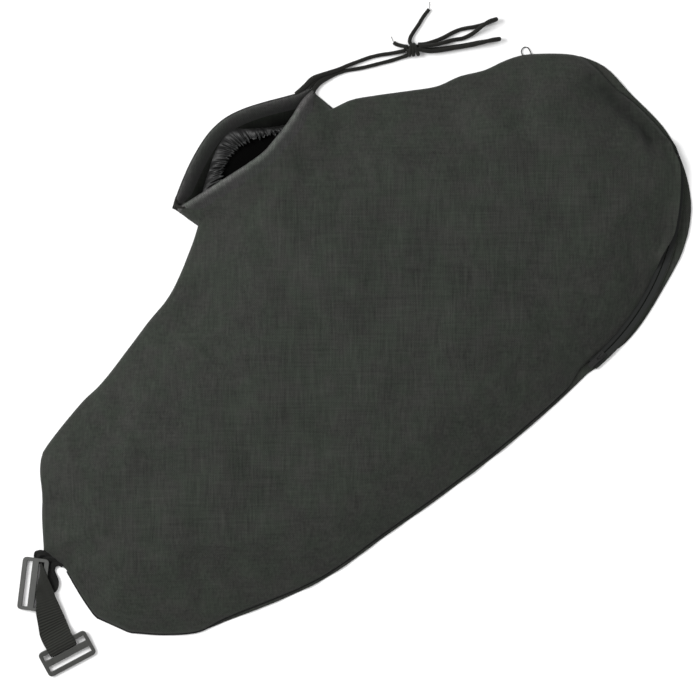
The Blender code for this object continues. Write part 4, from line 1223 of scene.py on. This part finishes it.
def make_knot(look):
    """Three turns of cord drawn tight round the strands that cross inside them."""
    c = KNOT_CENTRE
    core = [(-7.5, 5.0, 0.0), (-3.5, 2.5, 0.6), (0.5, 0.5, 0.8), (4.0, -1.5, 0.4), (7.0, -4.0, 0.0)]
    pieces = [
        (spline([c + np.array(p) + [0, 2.2, -1.6] for p in core], 1.0), 2.5),
        (spline([c + np.array(p) + [0.5, -2.0, 1.4] for p in core], 1.0), 2.5),
    ]
    axis = np.array([0.82, -0.57, 0.0])
    side = np.array([0.57, 0.82, 0.0])
    for shift, tilt in ((-3.4, 0.25), (-0.4, 0.05), (2.8, -0.30)):
        ring = []
        for turn in np.linspace(0, 2 * math.pi, 26):
            across = 5.7 * math.cos(turn)
            flat = c + axis * (shift + tilt * across) + side * across
            ring.append(flat + np.array([0, 0, 3.4 * math.sin(turn)]))
        pieces.append((np.array(ring), 1.9))
    points, faces, uvs, start = [], [], [], 0
    for path, radius in pieces:
        p, f, u = sweep_arrays(path, radius, 12)
        points.append(p)
        uvs.append(u)
        faces += [tuple(i + start for i in face) for face in f]
        start += len(p)
    item = make_object("bow_knot_cord", np.vstack(points), faces, look, np.vstack(uvs))
    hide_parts("bow_knot")
    return item


def make_cord_piece(name, look):
    """One cord of the drawstring, slightly uneven in thickness, with the path it follows."""
    path = spline(ROUTES[name], 3.0)
    path[:, 2] = np.maximum(path[:, 2], CORD_LOWEST)
    along = np.linspace(0, 1, len(path))
    radius = CORD_RADIUS * (FATTER + 0.03 * np.sin(along * 40) + 0.02 * np.sin(along * 93))
    if name.startswith("bow_loop"):
        radius = radius * LOOPS_FATTER
    if name.startswith("drawstring_lead"):
        radius = radius * (1 + LEADS_BUNCHED * np.exp(-(((along - 0.15) / 0.13) ** 2)))
    lifted = path.copy()
    lifted[:, 2] += np.maximum(radius - path[:, 2], 0)
    cord = tube(name + "_cord", lifted, radius, look, sides=14)
    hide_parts(name)
    return cord, path


def make_fray(name, look):
    """A loose thread at a cord's cut end."""
    thread = tube(name + "_fray", spline(FRAYS[name], 1.0), FRAY_RADIUS, look, sides=6)
    return thread


def make_cords(look):
    """The knot, the short end, which is too short to be a cord itself, the loose threads at the cut ends, the
    strand where the leads cross, and the other cords.
    """
    knot = make_knot(look)
    short_end = make_cord_piece("drawstring_end_short", look)[0]
    frays = {name: make_fray(name, look) for name in FRAYS}
    twist = tube("drawstring_twist", spline(TWIST, 1.5), CORD_RADIUS, look, sides=12)
    for name in ROUTES:
        if name == "drawstring_end_short":
            continue
        cord, path = make_cord_piece(name, look)


# --- Set


def make_set():
    bpy.ops.mesh.primitive_plane_add(size=8.0, location=(0, 0, FLOOR_Z * MM))
    floor = bpy.context.object
    floor.name = "floor"
    n = Nodes("pale floor")
    floor.data.materials.append(n.finish((0.95, 0.95, 0.95, 1), 0.9, Specular_IOR_Level=0.1))
    world = bpy.data.worlds.new("studio")
    bpy.context.scene.world = world
    world.use_nodes = True
    world.node_tree.nodes["Background"].inputs[0].default_value = (1.0, 1.0, 1.0, 1)
    world.node_tree.nodes["Background"].inputs[1].default_value = WORLD_LIGHT
    turn = math.radians(VIEW_TURN)
    lights = (("key", (-2.0, 0.6, 2.3), 1.7, 92.0), ("fill", (1.2, 1.2, 2.6), 2.2, 16.0))
    for name, (x, y, z), size, power in lights:
        data = bpy.data.lights.new(name, "AREA")
        data.shape = "DISK"
        data.size = size
        data.energy = power
        lamp = bpy.data.objects.new(name, data)
        right = Vector((math.cos(-turn), math.sin(-turn), 0))
        up = Vector((math.sin(turn), math.cos(turn), 0))
        lamp.location = right * x + up * y + Vector((0, 0, z))
        lamp.rotation_euler = (Vector((0, 0, 0)) - lamp.location).to_track_quat("-Z", "Y").to_euler()
        bpy.context.scene.collection.objects.link(lamp)
    data = bpy.data.cameras.new("camera")
    data.sensor_width = SENSOR
    data.lens = SENSOR * CAMERA_HEIGHT / VIEW_WIDTH
    data.clip_end = 20.0
    camera = bpy.data.objects.new("camera", data)
    camera.location = (VIEW_CENTRE[0] * MM, VIEW_CENTRE[1] * MM, CAMERA_HEIGHT * MM)
    camera.rotation_euler = (0, 0, -turn)
    bpy.context.scene.collection.objects.link(camera)
    bpy.context.scene.camera = camera
    bpy.context.scene.view_settings.view_transform = "Standard"


def dress(node, look):
    """Give a CAD node a finished material."""
    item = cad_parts[node]
    for slot in item.material_slots:
        slot.material = look


def main():
    make_set()
    cord = cord_material("braided cord", (0.0062, 0.0062, 0.0046))
    thread = cord_material("dark thread and shade line", (0.004, 0.004, 0.004))
    make_cords(cord)
    cloth_colour = (0.0203, 0.0224, 0.0184)
    cloth = cloth_material("coated cloth", cloth_colour)
    front_hem = hem_material("front hem cloth", cloth_colour, FRONT_HEM_TONES)
    back_hem = hem_material("back hem cloth", cloth_colour, BACK_HEM_TONES)
    facing = facing_shade_material("neck facing and painted shade", cloth_colour)
    lining = satin_material("cuff lining", (0.0070, 0.0073, 0.0073), 0.36)
    web = webbing_material("webbing", (0.0135, 0.0142, 0.0118), rib=2.9, fade_and_shade=True)
    # darker than the back tape: painted shade under the front panel's edge
    front_tape_painted_dark = webbing_material("front zip tape with painted shade", (0.0160, 0.0175, 0.0165), rib=0.9, column=0.9)
    back_tape = webbing_material("back zip tape", (0.0200, 0.0218, 0.0208), rib=0.9, column=0.9)
    plastic = plastic_material("moulded plastic", (0.031, 0.032, 0.029), 0.40)
    coil = plastic_material("zip coil", (0.012, 0.012, 0.012), 0.36)
    metal = metal_material("zip metal", (0.02, 0.02, 0.02))
    front_panel = make_front_panel(cloth_material("creased cloth", cloth_colour, crease_shade=True))
    make_back_panel(cloth)
    make_seam_line(thread)
    make_thread_loop(cord)
    make_mouth_hems(front_panel, front_hem, back_hem)
    make_collar_facing(facing)
    make_cuff(lining)
    make_strap(web)
    looks = {
        "tri_glide": plastic, "zip_coil": coil, "zip_tape_front": front_tape_painted_dark, "zip_tape_back": back_tape,
        "zip_slider": metal, "zip_pull": metal, "zip_bottom": metal, "zip_top": metal, "seam": cloth,
        "back_panel_hem": cloth, "drawstring_in_casing": cord, "strap_sewn_end": web,
    }
    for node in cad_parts:
        for start, look in looks.items():
            if node.startswith(start):
                dress(node, look)


main()
